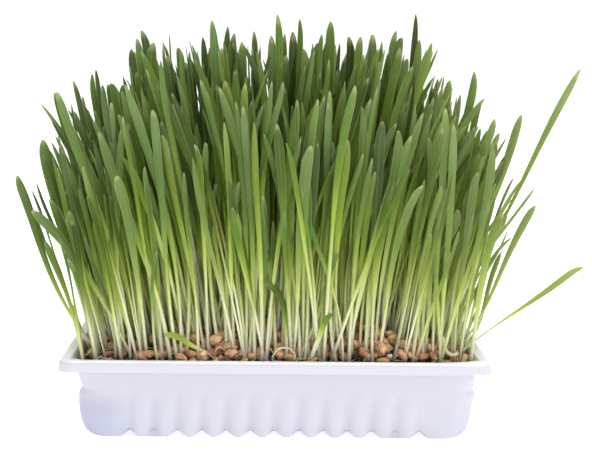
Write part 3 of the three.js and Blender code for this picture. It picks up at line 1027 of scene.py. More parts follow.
# Thin leaves past the tray's ends, in one upright plane: look, foot's x, two bends, tip and width.
SIDE_PLANE = -20
SIDE_LEAVES = [
    ("light", -84, ((-93, 50), (-103, 75)), (-113, 99), 2.2),
    ("dark", -82, ((-95, 75), (-102, 91)), (-109, 110), 1.5),
    ("plain", -80, ((-90, 85), (-95, 110)), (-98, 126), 3),
    ("light", -80, ((-89, 85), (-96, 112)), (-103, 128), 2.6),
    ("dark", -78, ((-86, 90), (-90, 125)), (-93, 145), 1.2),
    ("bright", 83, ((90, 70), (99, 84)), (106, 97), 4.6),
    ("grey", 84, ((92, 62), (100, 77)), (109, 86), 1.6),
    ("light", 84, ((94, 46), (99, 65)), (103, 80), 2.4),
    ("dark", 84, ((91, 48), (96, 65)), (99, 77), 1.4),
    ("grey", 84, ((94, 66), (102, 79)), (107, 90), 1),
    ("dark", 82, ((92, 70), (99, 86)), (102, 100), 1.1),
]

# The leaves that hang out furthest: foot, bends, tip, width and how they are turned.
OUTER_LEAVES = {
    "blade_left_low": dict(
        foot=(-81, -26, 33), bends=[(-92, -26, 47), (-106, -26, 80)], tip=(-118, -27, 113),
        width=4.4, facing=15,
    ),
    "blade_left_front": dict(
        foot=(-64, -46, 35), bends=[(-78, -50, 64), (-90, -52, 83)], tip=(-107, -54, 100),
        width=4.2, facing=-10,
    ),
    "blade_left_high": dict(
        foot=(-80, 2, 33), bends=[(-91, 0, 60), (-101, -3, 94)], tip=(-109, -6, 128),
        width=5.8, facing=5, tint=0.16,
    ),
    "blade_right_long": dict(
        foot=(80, 12, 33), bends=[(100, 6, 75), (119, -2, 119)], tip=(140, -8, 163),
        width=4.6, facing=10, stem=1.7, start=0.45, tint=0.9,
    ),
    "blade_right_mid": dict(
        foot=(80, -16, 33), bends=[(90, -20, 68), (104, -24, 91)], tip=(117, -26, 110), width=4, facing=55,
    ),
    "blade_right_curved": dict(
        foot=(81, -27, 33), bends=[(94, -29, 52), (104, -30, 76)], tip=(116, -30, 103),
        width=3.4, facing=-20, stem=1.1, start=0.3,
    ),
    "blade_right_low": dict(
        foot=(80, -38, 33), bends=[(94, -36, 44), (113, -33, 57)], tip=(139, -31, 75),
        width=4.6, facing=5, stem=0.9, start=0.35, tint=0.86,
    ),
    "blade_right_high": dict(
        foot=(80, 26, 33), bends=[(92, 24, 63), (105, 20, 99)], tip=(116, 17, 141), width=4.6, facing=0,
    ),
    "blade_front_left": dict(
        foot=(-57, -46, 35), bends=[(-60, -58, 74), (-63, -66, 98)], tip=(-68, -78, 118),
        width=4.6, facing=12,
    ),
    "blade_front_mid": dict(
        foot=(8, -46, 35), bends=[(10, -57, 78), (11, -66, 108)], tip=(13, -76, 132), width=4.6, facing=-14,
    ),
    "blade_front_right": dict(
        foot=(46, -46, 35), bends=[(50, -58, 72), (54, -67, 96)], tip=(60, -79, 116), width=4.4, facing=8,
    ),
    "blade_back_left": dict(
        foot=(-46, 46, 35), bends=[(-52, 58, 80), (-56, 67, 112)], tip=(-62, 78, 140), width=4.6, facing=0,
    ),
    "blade_back_mid": dict(
        foot=(4, 46, 35), bends=[(2, 58, 84), (0, 67, 118)], tip=(-4, 77, 148), width=4.8, facing=20,
    ),
    "blade_back_right": dict(
        foot=(50, 46, 35), bends=[(56, 58, 76), (62, 67, 106)], tip=(70, 79, 132), width=4.4, facing=-12,
    ),
}

FALLEN_LEAF = dict(
    foot=(-31.5, -51.5, 38.5), bends=[(-38, -52.5, 42.5), (-43.5, -53, 45.5)], tip=(-49, -53.5, 47),
    width=3.4, facing=8, twist=0.3, stem=1.2, start=-0.1, tint=0.7,
)


def add_grass(leaf, green, pale):
    """The tufts over the bed, the tall and front leaves among them, and the outer leaves."""
    tuft = tuft_tree(leaf)
    listed = listed_leaf_tree(leaf)
    length, depth = SOWN_LENGTH / TUFTS_LONG, SOWN_DEPTH / TUFTS_DEEP
    for row in range(TUFTS_DEEP):
        for column in range(TUFTS_LONG):
            x = (column + 0.5) * length - SOWN_LENGTH / 2
            y = (row + 0.5) * depth - SOWN_DEPTH / 2
            settings = {
                "Cell centre": (x * MM, y * MM, 0),
                "Cell length": length * MM,
                "Cell depth": depth * MM,
                "Seed": TUFT_SEED + row * TUFTS_LONG + column,
                "Material": green,
            }
            place = f"{row + 1}_{column + 1}"
            placed(grown(f"grass_{place}", tuft, settings), "grass", f"tuft_{place}")
    for name, make, places in (
        ("tall_leaves", tall_leaf, TALL_TIPS),
        ("front_leaves", front_leaf, FRONT_LEAVES),
        ("side_leaves", side_leaf, SIDE_LEAVES),
    ):
        leaves = [make(number, *place) for number, place in enumerate(places)]
        placed(placed_leaves(name, listed, leaves, green), "grass")
    for name, shape in OUTER_LEAVES.items():
        own_name = name.replace("blade", "leaf")
        piece = placed_leaves(own_name, listed, [Leaf(**shape)], green, OUTER_SEGMENTS)
        placed(piece, "leaf", name)
    piece = placed_leaves("broken_leaf", listed, [Leaf(**FALLEN_LEAF)], pale)
    placed(piece, "pale_leaf", "fallen_leaf")
    for name, shape in {"short_leaf": SHORT_LEAF, "pale_shoot": PALE_SHOOT}.items():
        placed(placed_leaves(name, listed, [Leaf(**shape)], green), "leaf")


# ---------------------------------------------------------------- tray


def level_way(angle):
    """The level direction at an angle from +X."""
    return Vector((math.cos(angle), math.sin(angle)))


def rounded_rectangle(a, b, radius, marks_long, marks_short, corner_steps):
    """Stations round a rectangle with half sizes a and b, each (place, outward direction, place along its
    straight side or None on a corner)."""
    stations = []
    sides = [(-90, a - radius, b, marks_long), (0, b - radius, a, marks_short)]
    for angle, run, reach, marks in sides + [(s[0] + 180, *s[1:]) for s in sides]:
        turn = math.radians(angle)
        out = level_way(turn)
        along = Vector((-out.y, out.x))
        for t in [-run, *marks(run), run]:
            stations.append((out * reach + along * t, out, t if abs(t) < run else None))
        centre = out * (reach - radius) + along * run
        for step in range(1, corner_steps):
            around = level_way(turn + math.pi / 2 * step / corner_steps)
            stations.append((centre + around * radius, around, None))
    return stations


def faces_between(rows, count):
    """Faces between rings of points, and one over the first and the last ring."""
    faces = [list(range(count))[::-1], [(rows - 1) * count + i for i in range(count)]]
    for row in range(rows - 1):
        for i in range(count):
            a, b = row * count + i, row * count + (i + 1) % count
            faces.append((a, b, b + count, a + count))
    return faces


# The underside of the sheet from the flat floor out, up the wall and round the rim: inset from the rim's
# outer edge along X and Y, height, corner radius in plan, and how deep the flutes are cut there.
SHEET_LEVELS = [
    (26, 25, 0, 2.5, 0),
    (19, 17, 0, 4, 0.66),
    (13.4, 11, 0, 8, 1),
    (10.8, 9.4, 0.8, 10, 1),
    (8.9, 8.3, 3.2, 10.5, 0.9),
    (7.6, 7.5, 7.4, 10.5, 0.66),
    (7, 7, 12.5, 10, 0.48),
    (6.9, 6.9, 17, 10, 0.34),
    (7.1, 7, 19.6, 10, 0.18),
    (8.3, 7.1, 21.8, 9.5, 0),
    (7.6, 6.9, 25.5, 9, 0),
    (6.3, 6.2, 32.2, 8.5, 0),
    (5.8, 5.8, 34.3, 8, 0),
    (4.6, 4.6, 34.95, 7.5, 0),
    (2.2, 2.2, 35.1, 6.8, 0),
    (1.45, 1.45, 34.9, 6.5, 0),
    (1.15, 1.15, 34.2, 6.3, 0),
    (0.95, 0.95, 31.5, 6, 0),
    (0.9, 0.9, 31, 6, 0),
]
STEPS_PER_LEVEL = 2
STEPS_PER_FLUTE = 10
CORNER_STEPS = 10
WEB_FROM_MIDDLE = 53.75  # a groove here is closed under the floor by a web


def rounded_profile():
    """The levels with smooth steps put in between them."""
    fine = []
    last = len(SHEET_LEVELS) - 1
    for i in range(last):
        near = (Vector(SHEET_LEVELS[min(max(i + k, 0), last)]) for k in (-1, 0, 1, 2))
        before, start, end, after = near
        square = 2 * before - 5 * start + 4 * end - after
        cube = 3 * (start - end) + after - before
        for step in range(STEPS_PER_LEVEL):
            t = step / STEPS_PER_LEVEL
            level = start + 0.5 * t * (end - before + t * (square + t * cube))
            level[2] = max(level[2], 0)
            level[4] = min(max(level[4], 0), 1)
            fine.append(level)
    return [*fine, Vector(SHEET_LEVELS[-1])]


def sheet_normals(profile):
    """Unit normals of a profile towards the sheet's upper side, as (inward, up)."""
    found = []
    for i, _ in enumerate(profile):
        before, after = profile[max(i - 1, 0)], profile[min(i + 1, len(profile) - 1)]
        found.append(Vector((after[2] - before[2], before[0] - after[0])).normalized())
    return found


def eased(value, start, end):
    t = min(max((value - start) / (end - start), 0), 1)
    return t * t * (3 - 2 * t)


def sprung(x, y, z):
    """How far the soft sheet is sprung up, all of it near the rim's front right corner."""
    return RIM_LIFT * eased(x, 70, TRAY_LENGTH / 2) * eased(-y, 35, TRAY_DEPTH / 2) * eased(z, 28, 35)


def pushed_right(x, z):
    """How far the ends' walls are pushed to the right: the right one out past the ledge that the other
    walls keep, and the left one in below the ledge."""
    right = END_BULGE * eased(x, 60, 88) * eased(z, 14, 21) * (1 - eased(z, 24, 34))
    left = END_DENT * eased(-x, 60, 88) * (1 - eased(z, 20, 30))
    return right + left


def flute_marks(count):
    """The stations along a straight wall that has this many flutes."""

    def marks(run):
        fluted = count * FLUTE_PITCH / 2
        steps = count * STEPS_PER_FLUTE
        beside = fluted + (run - fluted) * 0.42
        return [-beside, *(fluted * (2 * i / steps - 1) for i in range(steps + 1)), beside]

    return marks


def sheet_ring(level, normal, offset):
    """One ring of the sheet, and for each of its points how far along its wall it lies, how deep the
    grooves go there and which way they are cut."""
    inset_x, inset_y, height, radius, flute = level
    inset = offset * normal.x
    a = TRAY_LENGTH / 2 - inset_x - inset
    b = TRAY_DEPTH / 2 - inset_y - inset
    marks = flute_marks(FLUTES_LONG), flute_marks(FLUTES_SHORT)
    ring = []
    for at, out, along in rounded_rectangle(a, b, radius, *marks, CORNER_STEPS):
        count = FLUTES_LONG if abs(out.y) > abs(out.x) else FLUTES_SHORT
        depth = flute
        if along is None or abs(along) > count * FLUTE_PITCH / 2 + 1e-6:
            depth = 0
        elif height < 0.1 and count == FLUTES_LONG and abs(abs(along) - WEB_FROM_MIDDLE) < FLUTE_PITCH / 2:
            depth = 0
        z = height + offset * normal.y
        place = Vector((at.x + pushed_right(at.x, height), at.y, z + sprung(at.x, at.y, height)))
        cut = Vector((-out.x * normal.x, -out.y * normal.x, normal.y))
        ring.append((place, along or 0.0, depth, cut))
    return ring


def plain_tray_mesh():
    """The sheet before its grooves are cut, with what the cut needs written on its points."""
    profile = rounded_profile()
    normals = sheet_normals(profile)
    under = [sheet_ring(level, normal, 0) for level, normal in zip(profile, normals)]
    upper = [sheet_ring(level, normal, SKIN) for level, normal in zip(profile, normals)]
    rings = under + upper[::-1]
    points = [point for ring in rings for point in ring]
    faces = faces_between(len(rings), len(rings[0]))
    mesh = new_mesh("plain_sheet", [p[0] * MM for p in points], faces=faces)
    write(mesh, "grow_along", [p[1] * MM for p in points])
    write(mesh, "grow_depth", [p[2] for p in points])
    write(mesh, "grow_cut", [c for p in points for c in p[3]], "FLOAT_VECTOR")
    return mesh


def fluted_tree():
    """Geometry tree: cuts rounded grooves into the walls of a plain tray."""
    n = GeometryNodes(
        "Fluted walls", Tray="geometry", Flute_pitch=FLUTE_PITCH * MM, Flute_depth=FLUTE_DEPTH * MM
    )
    wave = n.maths("COSINE", n.read("grow_along") / n.given["Flute pitch"] * FULL_TURN)
    groove = ((wave + 1.0) * 0.5) ** 1.5 * n.read("grow_depth") * n.given["Flute depth"]
    tray = n.push(n.given["Tray"], n.read("grow_cut", "FLOAT_VECTOR") * groove)
    return n.finish(n.shade_smooth(n.forget(tray, "grow_*"), 60))


def add_tray(plastic):
    piece = grown("tray_sheet", fluted_tree(), {"Material": plastic}, plain_tray_mesh())
    placed(piece, "tray_plastic", "tray")


# ---------------------------------------------------------------- soil and what lies on it

# Half sizes and height of the soil's rings, from its flat bottom up the walls and over the shoulder.
SOIL_PROFILE = [
    (77.5, 45.5, 3.7),
    (80.9, 48.4, 6.8),
    (83.2, 50.7, 11.5),
    (85.2, 52.7, 26),
    (85.4, 53.4, 28.4),
    (84.2, 53.2, 30.8),
    (81.5, 52, 32.8),
    (78, 50, 34),
    (73, 45.5, 34.6),
    (67, 39, 34.9),
]
SOIL_CROWN = 35.2
SOIL_RADIUS = 8
SOIL_TOP_RINGS = 16
SOIL_STEP = 2.6  # distance between stations
SOIL_CORNER_STEPS = 5
BROAD_LUMP = 11  # how wide the lumps in its surface are, and how high
BROAD_LUMP_HEIGHT = 0.9
FINE_LUMP = 3.4
FINE_LUMP_HEIGHT = 0.8


def even_marks(run):
    steps = max(2, round(2 * run / SOIL_STEP))
    return [run * (2 * i / steps - 1) for i in range(1, steps)]


def lumpy(place):
    """How far the soil's surface is pushed up or down at a place in millimetres."""
    broad = noise.noise(Vector((place.x / BROAD_LUMP, place.y / BROAD_LUMP, 3.1)))
    fine = noise.noise(Vector((place.x / FINE_LUMP, place.y / FINE_LUMP, place.z / FINE_LUMP)))
    return BROAD_LUMP_HEIGHT * broad + FINE_LUMP_HEIGHT * fine


def soil_mesh():
    """The block of soil: rings up its wall and then in over its crown, pushed about by lumps."""
    wide_a, wide_b = SOIL_PROFILE[3][:2]
    side = rounded_rectangle(wide_a, wide_b, SOIL_RADIUS, even_marks, even_marks, SOIL_CORNER_STEPS)
    levels = list(SOIL_PROFILE)
    last_a, last_b, last_z = SOIL_PROFILE[-1]
    for ring in range(1, SOIL_TOP_RINGS):
        share = 1 - ring / SOIL_TOP_RINGS
        levels.append((last_a * share, last_b * share, SOIL_CROWN + (last_z - SOIL_CROWN) * share**2))
    points = []
    for a, b, z in levels:
        for at, _, _ in side:
            place = Vector((at.x * a / wide_a, at.y * b / wide_b, z))
            push = lumpy(place) * eased(z, 26, 33)
            points.append((place + Vector((0, 0, push))) * MM)
    mesh = new_mesh("soil_block", points, faces=faces_between(len(levels), len(side)))
    mesh.shade_smooth()
    return mesh


def crumb_tree():
    """Geometry tree: uneven crumbs strewn over the upper side of its base."""
    n = GeometryNodes(
        "Strewn crumbs",
        Base="geometry",
        Spacing=2.4 * MM,
        Smallest=0.5 * MM,
        Largest=1.6 * MM,
        Sunk=0.2 * MM,
        Seed="whole",
    )
    given = n.given
    points = n.store(n.strewn(given["Base"], given["Spacing"]), {"tint": n.random()})
    points = n.move_to(points, n.position() - n.pack(0.0, 0.0, given["Sunk"]))
    size = n.blend(n.random() ** 2.0, given["Smallest"], given["Largest"])
    crumb = n.add("GeometryNodeMeshIcoSphere", {"Radius": 1.0, "Subdivisions": 1})["Mesh"]
    turn = n.rotation(n.pack(n.any_angle(), n.any_angle(), n.any_angle()))
    crumbs = n.copies(points, crumb, Rotation=turn, Scale=n.pack(size, size * 0.8, size * 0.65))
    return n.finish(n.shade_smooth(n.uneven(crumbs, 900.0, 1.0, given["Largest"]), 50))


def grain_shape(n, around, along):
    """A wheat grain one unit long from its middle, with its crease below and its germ end pointed."""
    ball = n.add("GeometryNodeMeshUVSphere", {"Segments": around, "Rings": along, "Radius": 1.0})["Mesh"]
    x, y, z = n.parts(n.position())
    ball = n.move_to(ball, n.pack(z, x, y))
    x, y, z = n.parts(n.position())
    ball = n.store(ball, {"along": x})
    slim = 1.0 - 0.2 * x - 0.14 * x * x
    under = n.smooth(z, 0.1, -0.6)
    near_crease = 1.0 - n.smooth(n.unsigned(y), 0.0, 0.42)
    crease = under * near_crease * 0.42
    return n.move_to(ball, n.pack(x, y * slim, z * slim + crease))


def wrinkled(n, grains):
    """Smooth grains whose skin is pushed in and out unevenly."""
    return n.shade_smooth(n.uneven(grains, 420.0, 2.0, n.given["Wrinkles"]))


def grain_tree():
    """Geometry tree: swollen wheat grains lying in heaps on the upper side of its base."""
    n = GeometryNodes(
        "Strewn grains",
        Base="geometry",
        Spacing=4.3 * MM,
        Grain_length=6.6 * MM,
        Grain_width=4.2 * MM,
        Raised=2.3 * MM,
        Layer="number",
        Layer_height=2.5 * MM,
        Wrinkles=1.3 * MM,
        Seed="whole",
    )
    given = n.given
    heaps = n.smooth(n.noise(n.position(), 60.0, 1.0), 0.34, 0.5, 0.3, 1.0)
    x, y, _ = n.parts(n.position())
    middle = n.smooth(x, -56 * MM, -34 * MM, 0.3, 1.0)
    heaps = heaps * n.smooth(y, -48 * MM, -42 * MM, 0.3, 1.0) * middle
    # A higher layer lies only where the heap under it is tall enough.
    tallness = n.smooth(n.noise(n.position(), 75.0, 1.0), 0.42, 0.62) * middle
    needed = given["Layer"] * 0.28
    heaps = heaps * n.smooth(tallness + 0.1, needed, needed + 0.08)
    points = n.store(n.strewn(given["Base"], given["Spacing"], heaps), {"tint": n.random()})
    lift = given["Raised"] * n.random(-0.5, 1.8) + given["Layer"] * given["Layer height"]
    points = n.push(points, n.pack(0.0, 0.0, lift))
    turn = n.pack(n.any_angle(), n.centred(1.2), n.any_angle())
    size = n.random(0.78, 1.1) * 0.5
    wide = given["Grain width"] * size
    sizes = n.pack(given["Grain length"] * size, wide, wide * 0.9)
    grains = n.copies(points, grain_shape(n, 9, 8), Rotation=n.rotation(turn), Scale=sizes)
    return n.finish(wrinkled(n, grains))


def listed_grain_tree():
    """Geometry tree: finer grains whose turns, sizes and tints are written on its base's points."""
    n = GeometryNodes("Placed grains", Base="geometry", Wrinkles=0.9 * MM)
    turn, sizes = n.read_vectors("grain_turn", "grain_size")
    points = n.points(n.given["Base"])
    grains = n.copies(points, grain_shape(n, 18, 14), Rotation=n.rotation(turn), Scale=sizes)
    return n.finish(n.forget(wrinkled(n, grains), "grain_*"))


def rootlet_tree(leaf):
    """Geometry tree: thin white rootlets that arch over the soil between the grains."""
    n = GeometryNodes(
        "Rootlets",
        Base="geometry",
        Spacing=5.0 * MM,
        Length=9 * MM,
        Thickness=0.45 * MM,
        Seed="whole",
    )
    place = n.position() - (0.0, 0.0, 0.4 * MM)
    turn = n.any_angle()
    bend = turn + n.centred(1.6)
    reach = n.given["Length"] * n.random(0.5, 1.2)
    arch = n.random(1.2 * MM, 4.6 * MM)
    one = n.pack(*n.round_about(turn, reach), arch * 1.5)
    two = n.pack(*n.round_about(bend, reach), arch)
    roots = n.leaves(
        leaf,
        Points=n.strewn(n.given["Base"], n.given["Spacing"]),
        Low_handle=place + one * 0.35,
        High_handle=place + one * 0.5 + two * 0.3,
        Tip=place + one * 0.5 + two * 0.6 - n.pack(0.0, 0.0, arch * 1.4),
        Leaf_width=n.given["Thickness"],
        Stem_width=n.given["Thickness"],
        Blade_start=2.0,
        Tint=n.random(),
        Segments=8,
    )
    return n.finish(roots)


def strand_tree():
    """Geometry tree: round strands along the lines of its base, as thick as its points say."""
    n = GeometryNodes("Strands", Base="geometry", Step=0.5 * MM)
    curve = n.add("GeometryNodeMeshToCurve", {"Mesh": n.given["Base"]})[0]
    curve = n.add("GeometryNodeCurveSplineType", {"Curve": curve}, spline_type="CATMULL_ROM")[0]
    steps = {"Curve": curve, "Length": n.given["Step"]}
    curve = n.add("GeometryNodeResampleCurve", steps, mode="LENGTH")[0]
    ring = n.add("GeometryNodeCurvePrimitiveCircle", {"Resolution": 7, "Radius": 1.0})[0]
    inputs = {"Curve": curve, "Profile Curve": ring, "Scale": n.read("strand_thick"), "Fill Caps": True}
    strands = n.shade_smooth(n.add("GeometryNodeCurveToMesh", inputs)[0], 60)
    return n.finish(n.forget(strands, "strand_*"))


GRAIN_HALF_SIZES = (3.4, 2.1, 1.9)
GRAIN_HEIGHT = 36.4
GRAIN_LAYERS = 4  # how many grains lie on each other where they are heaped highest
# The named grains against the rim: place in plan, turn and roll in degrees, and tint from red-brown
# to straw.
GRAINS = [
    (-50, -47, 20, 200, 0.5), (-37, -47, -35, 160, 0.45), (-19, -47, 15, 30, 0.5), (-10, -48, 70, 170, 0.6),
    (2, -47, 82, 60, 0.62), (22, -46, 35, 190, 0.25), (36, -45, -8, 20, 0.4), (66, -48, 20, 150, 0.2),
    (-58, 45, 15, 40, 0.6), (-12, 45, -40, 200, 0.45), (30, 45, 25, 80, 0.7), (-78, -14, 75, 120, 0.5),
]
# Grains that lie loose on the heaps and husks that stand among them: place, turn about X, Y and Z in
# degrees, half sizes and tint.
LOOSE_GRAINS = [
    ((-59, -48, 36), (90, 0, 10), (2.6, 2, 1.8), 0.3),
    ((-45, -43, 38), (0, -40, 30), (2.6, 1.9, 1.7), 0.7),
    ((-27, -45, 37), (20, -20, 15), (3.1, 2.2, 2), 0.4),
    ((-22, -45, 38), (0, 60, 20), (3, 2, 1.9), 0.2),
    ((-26, -43, 40), (30, 20, 80), (3, 2.1, 1.9), 0.35),
    ((-22, -42, 41), (15, 40, 120), (3, 2.1, 1.9), 0.3),
    ((-24, -42, 44), (10, -15, 10), (3.5, 2.5, 2.2), 0.75),
    ((-18, -43, 40), (0, 80, 0), (3, 2, 1.8), 0.12),
    ((-15, -47, 37), (60, -25, -30), (2.6, 1.9, 1.7), 0.45),
    ((-7, -47, 38), (20, -60, 30), (3.4, 1.9, 1.6), 0.55),
    ((-4, -43, 38), (0, 20, 60), (3.2, 2.1, 2), 0.3),
    ((1, -42, 39), (0, -30, 150), (3.2, 2.1, 2), 0.5),
    ((-2, -41, 42), (20, 70, 30), (3.4, 2.2, 2), 0.58),
    ((1, -40, 44), (0, 30, 80), (3, 2, 1.8), 0.4),
    ((-1, -40, 48), (0, -75, 20), (4.2, 2, 1.3), 0.1),
    ((10, -44, 38), (0, 15, 20), (3, 2, 1.9), 0.3),
    ((14, -43, 38), (40, -20, 40), (2.8, 1.9, 1.7), 0.35),
    ((12, -42, 42), (0, -60, 160), (3.9, 2.3, 1.7), 0.5),
    ((26, -47, 37), (10, -50, 70), (2.8, 2.1, 1.9), 0.15),
    ((22, -43, 39), (50, -30, 110), (3, 2.1, 1.9), 0.5),
    ((36, -43, 40), (0, 10, -8), (3.4, 2.1, 1.8), 0.88),
    ((50, -42, 39), (20, 8, -12), (3, 2.2, 1.9), 0.9),
    ((47, -42, 37), (10, 30, 50), (2.8, 2, 1.8), 0.3),
    ((64, -48, 36), (0, -8, 8), (3.3, 1.4, 1.2), 0.95),
    ((79, -42, 38), (0, -75, 30), (2.6, 2.1, 1.9), 0.42),
    ((80, -42, 42), (0, -84, 0), (2.8, 0.9, 0.7), 0.1),
    ((71, -47, 37), (40, -40, 20), (2.5, 1.7, 1.4), 0.05),
    ((58, -40, 37), (70, 10, 100), (3, 2, 1.8), 0.3),
    ((-68, -44, 36), (0, -15, 50), (3, 2, 1.8), 0.4),
    ((-74, -30, 36), (30, 20, 10), (2.8, 2, 1.8), 0.55),
    ((31, -48, 36), (110, 5, 20), (3, 2, 1.7), 0.1),
    ((44, -46, 36), (10, -15, -50), (2.8, 1.9, 1.8), 0.45),
    ((82, 6, 36), (0, -30, 80), (2.7, 1.9, 1.7), 0.25),
    ((-33, -43, 38), (0, -35, 20), (3, 2.1, 1.9), 0.35),
    ((-52, -44, 37), (0, -50, 80), (3, 2, 1.9), 0.2),
    ((66, -42, 37), (90, -35, 10), (3, 2, 1.9), 0.4),
]
# Strands of root and shoot: half their thickness, and the points they pass through.
LOOP_HALF = 0.38
SHOOT_HALF = 0.9
THREAD_HALF = 0.3
ROOT_LOOP = [
    (4.5, -46, 33.5), (-0.5, -51, 34.5), (-1, -53, 37), (1, -53.5, 40), (3.5, -53.5, 41), (6.5, -53.5, 40.5),
    (8.5, -53, 38), (8.5, -52, 35), (6.5, -48, 33),
]
CURLED_SHOOT = [
    (75, -43, 44), (75, -46, 41.5), (76, -48, 39), (78, -49, 37.5), (80, -49, 37.5), (81, -48.5, 38.5),
]
THREADS = [
    [(-26, -46, 34), (-27, -48, 37), (-25, -49, 40), (-22, -48, 38), (-21, -47, 34)],
    [(-7, -44, 36), (-5, -45, 41), (-3, -46, 40), (-1, -46, 37)],
    [(-18, -48, 34), (-16, -50, 37), (-14, -50, 37), (-12, -48, 34)],
    [(11, -47, 34), (12, -49, 38), (13, -49, 41)],
    [(-33, -48, 34), (-31, -50, 37), (-29, -50, 37), (-27, -48, 34)],
    [(57, -46, 34), (56, -48, 38), (54, -49, 37), (52, -47, 34)],
    [(84, -36, 32), (85, -38, 37), (84, -40, 41), (83, -39, 44)],
    [(82, -24, 34), (84, -24, 39), (83, -22, 46), (85, -20, 50)],
]
# Lumps of perlite: place and radius.
PERLITE = [(42, -46, 35.6, 1.5), (51, -46, 35.6, 1.3), (-28, -46, 35.6, 1.2), (78, 8, 35.6, 1.5)]
LOOSE_PERLITE = [(48, -45, 37, 1.2), (41, -34, 37, 1.2), (-15, -48, 37, 0.9), (30, -40, 36, 1)]
# How far noise pushes a lump in and out, as a share of its size, and how fine the noise is.
PERLITE_ROUGHNESS = (0.5, 1.6)
LUMP_ROUGHNESS = (0.7, 2.8)
CLOD_ROUGHNESS = (0.45, 2.2)
FINE_SUBDIVISIONS = 4
# Dark lumps of soil among the grains: place and half sizes.
LUMPS = [((37, -48, 36), (2.6, 2, 2.2)), ((48, -48, 35), (2, 1.6, 1.6))]
CLOD_CENTRE = (82.4, -6, 40)
CLOD_RADII = (3.2, 5.2, 7)


def strand_base(name, strands):
    """A mesh of the lines along which strands grow, each (points, half thickness)."""
    points = [point for line, _ in strands for point in line]
    thick = [half for line, half in strands for _ in line]
    edges = []
    first = 0
    for line, _ in strands:
        edges += [(first + i, first + i + 1) for i in range(len(line) - 1)]
        first += len(line)
    mesh = new_mesh(name + "_lines", [Vector(p) * MM for p in points], edges)
    write(mesh, "strand_thick", [t * MM for t in thick])
    write(mesh, "tint", [0.5] * len(points))
    return mesh


def placed_grains(name, tree, grains, material):
    """One object of placed grains, each (place, turn, half sizes, tint)."""
    places, turns, sizes, tints = zip(*grains)
    base = new_mesh(name + "_places", [Vector(place) * MM for place in places])
    write(base, "grain_turn", [math.radians(a) for turn in turns for a in turn], "FLOAT_VECTOR")
    write(base, "grain_size", [s * MM for size in sizes for s in size], "FLOAT_VECTOR")
    write(base, "tint", tints)
    return grown(name, tree, {"Material": material}, base)


def lump_mesh(name, centre, radii, roughness, fineness, seed, subdivisions=3):
    """A ball pushed in and out by noise, as a mesh in place."""
    made = bmesh.new()
    bmesh.ops.create_icosphere(made, subdivisions=subdivisions, radius=1)
    for vertex in made.verts:
        rough = noise.fractal(vertex.co * fineness + Vector((seed, seed, seed)), 1.0, 2.0, 3)
        swollen = vertex.co * (1 + roughness * rough)
        vertex.co = Vector(c + s * r for c, s, r in zip(centre, swollen, radii)) * MM
    mesh = bpy.data.meshes.new(name)
    made.to_mesh(mesh)
    made.free()
    mesh.shade_smooth()
    return mesh


def add_perlite(name, lump, seed, white, *nodes):
    """One lump of perlite, given as its place and radius."""
    *centre, radius = lump
    mesh = lump_mesh(name, centre, (radius,) * 3, *PERLITE_ROUGHNESS, seed)
    finished(name, mesh, white, "perlite", *nodes)


def add_bed(leaf, earth, grain, root, white):
    """The soil, its crumbs, grains, rootlets and perlite, and the clod at the right end."""
    soil = finished("soil_block", soil_mesh(), earth, "soil", "soil")

    def strewn(name, tree, slot, **settings):
        placed(grown(name, tree, settings, soil.data.copy()), slot)

    strewn("soil_crumbs", crumb_tree(), "soil", Seed=CRUMB_SEED, Material=earth)
    grains = grain_tree()
    for layer in range(GRAIN_LAYERS):
        settings = {"Layer": float(layer), "Seed": GRAIN_SEED + layer, "Material": grain}
        strewn(f"sown_grains_{layer + 1}", grains, "grain", **settings)
    strewn("rootlets", rootlet_tree(leaf), "root", Seed=ROOTLET_SEED, Material=root)
    listed = listed_grain_tree()
    for number, (x, y, turn, roll, tint) in enumerate(GRAINS, 1):
        one = [((x, y, GRAIN_HEIGHT), (roll, 0, turn), GRAIN_HALF_SIZES, tint)]
        placed(placed_grains(f"wheat_grain_{number}", listed, one, grain), "grain", f"grain_{number}")
    placed(placed_grains("loose_grains", listed, LOOSE_GRAINS, grain), "grain")
    strand = strand_tree()
    for name, lines in {
        "root_loop": [(ROOT_LOOP, LOOP_HALF)],
        "curled_shoot": [(CURLED_SHOOT, SHOOT_HALF)],
        "root_threads": [(line, THREAD_HALF) for line in THREADS],
    }.items():
        placed(grown(name, strand, {"Material": root}, strand_base(name, lines)), "root")
    for number, lump in enumerate(PERLITE, 1):
        add_perlite(f"perlite_lump_{number}", lump, number, white, f"perlite_{number}")
    for number, lump in enumerate(LOOSE_PERLITE, 1):
        add_perlite(f"loose_perlite_{number}", lump, LOOSE_PERLITE_SEED + number, white)
    for number, (centre, radii) in enumerate(LUMPS, 1):
        name, seed = f"soil_lump_{number}", LUMP_SEED + number
        lump = lump_mesh(name, centre, radii, *LUMP_ROUGHNESS, seed, FINE_SUBDIVISIONS)
        finished(name, lump, earth, "soil")
    name = "clod_of_roots"
    clod = lump_mesh(name, CLOD_CENTRE, CLOD_RADII, *CLOD_ROUGHNESS, CLOD_SEED, FINE_SUBDIVISIONS)
    finished(name, clod, earth, "root", "root_clod")


# ---------------------------------------------------------------- stage

CAMERA_PLACE = (-0.0007, -0.7125, 0.181)
CAMERA_PITCH = math.radians(-7.385)
CAMERA_YAW = math.radians(-0.8)
CAMERA_ROLL = math.radians(0.65)
CAMERA_LENS = 92.75
SENSOR_WIDTH = 36


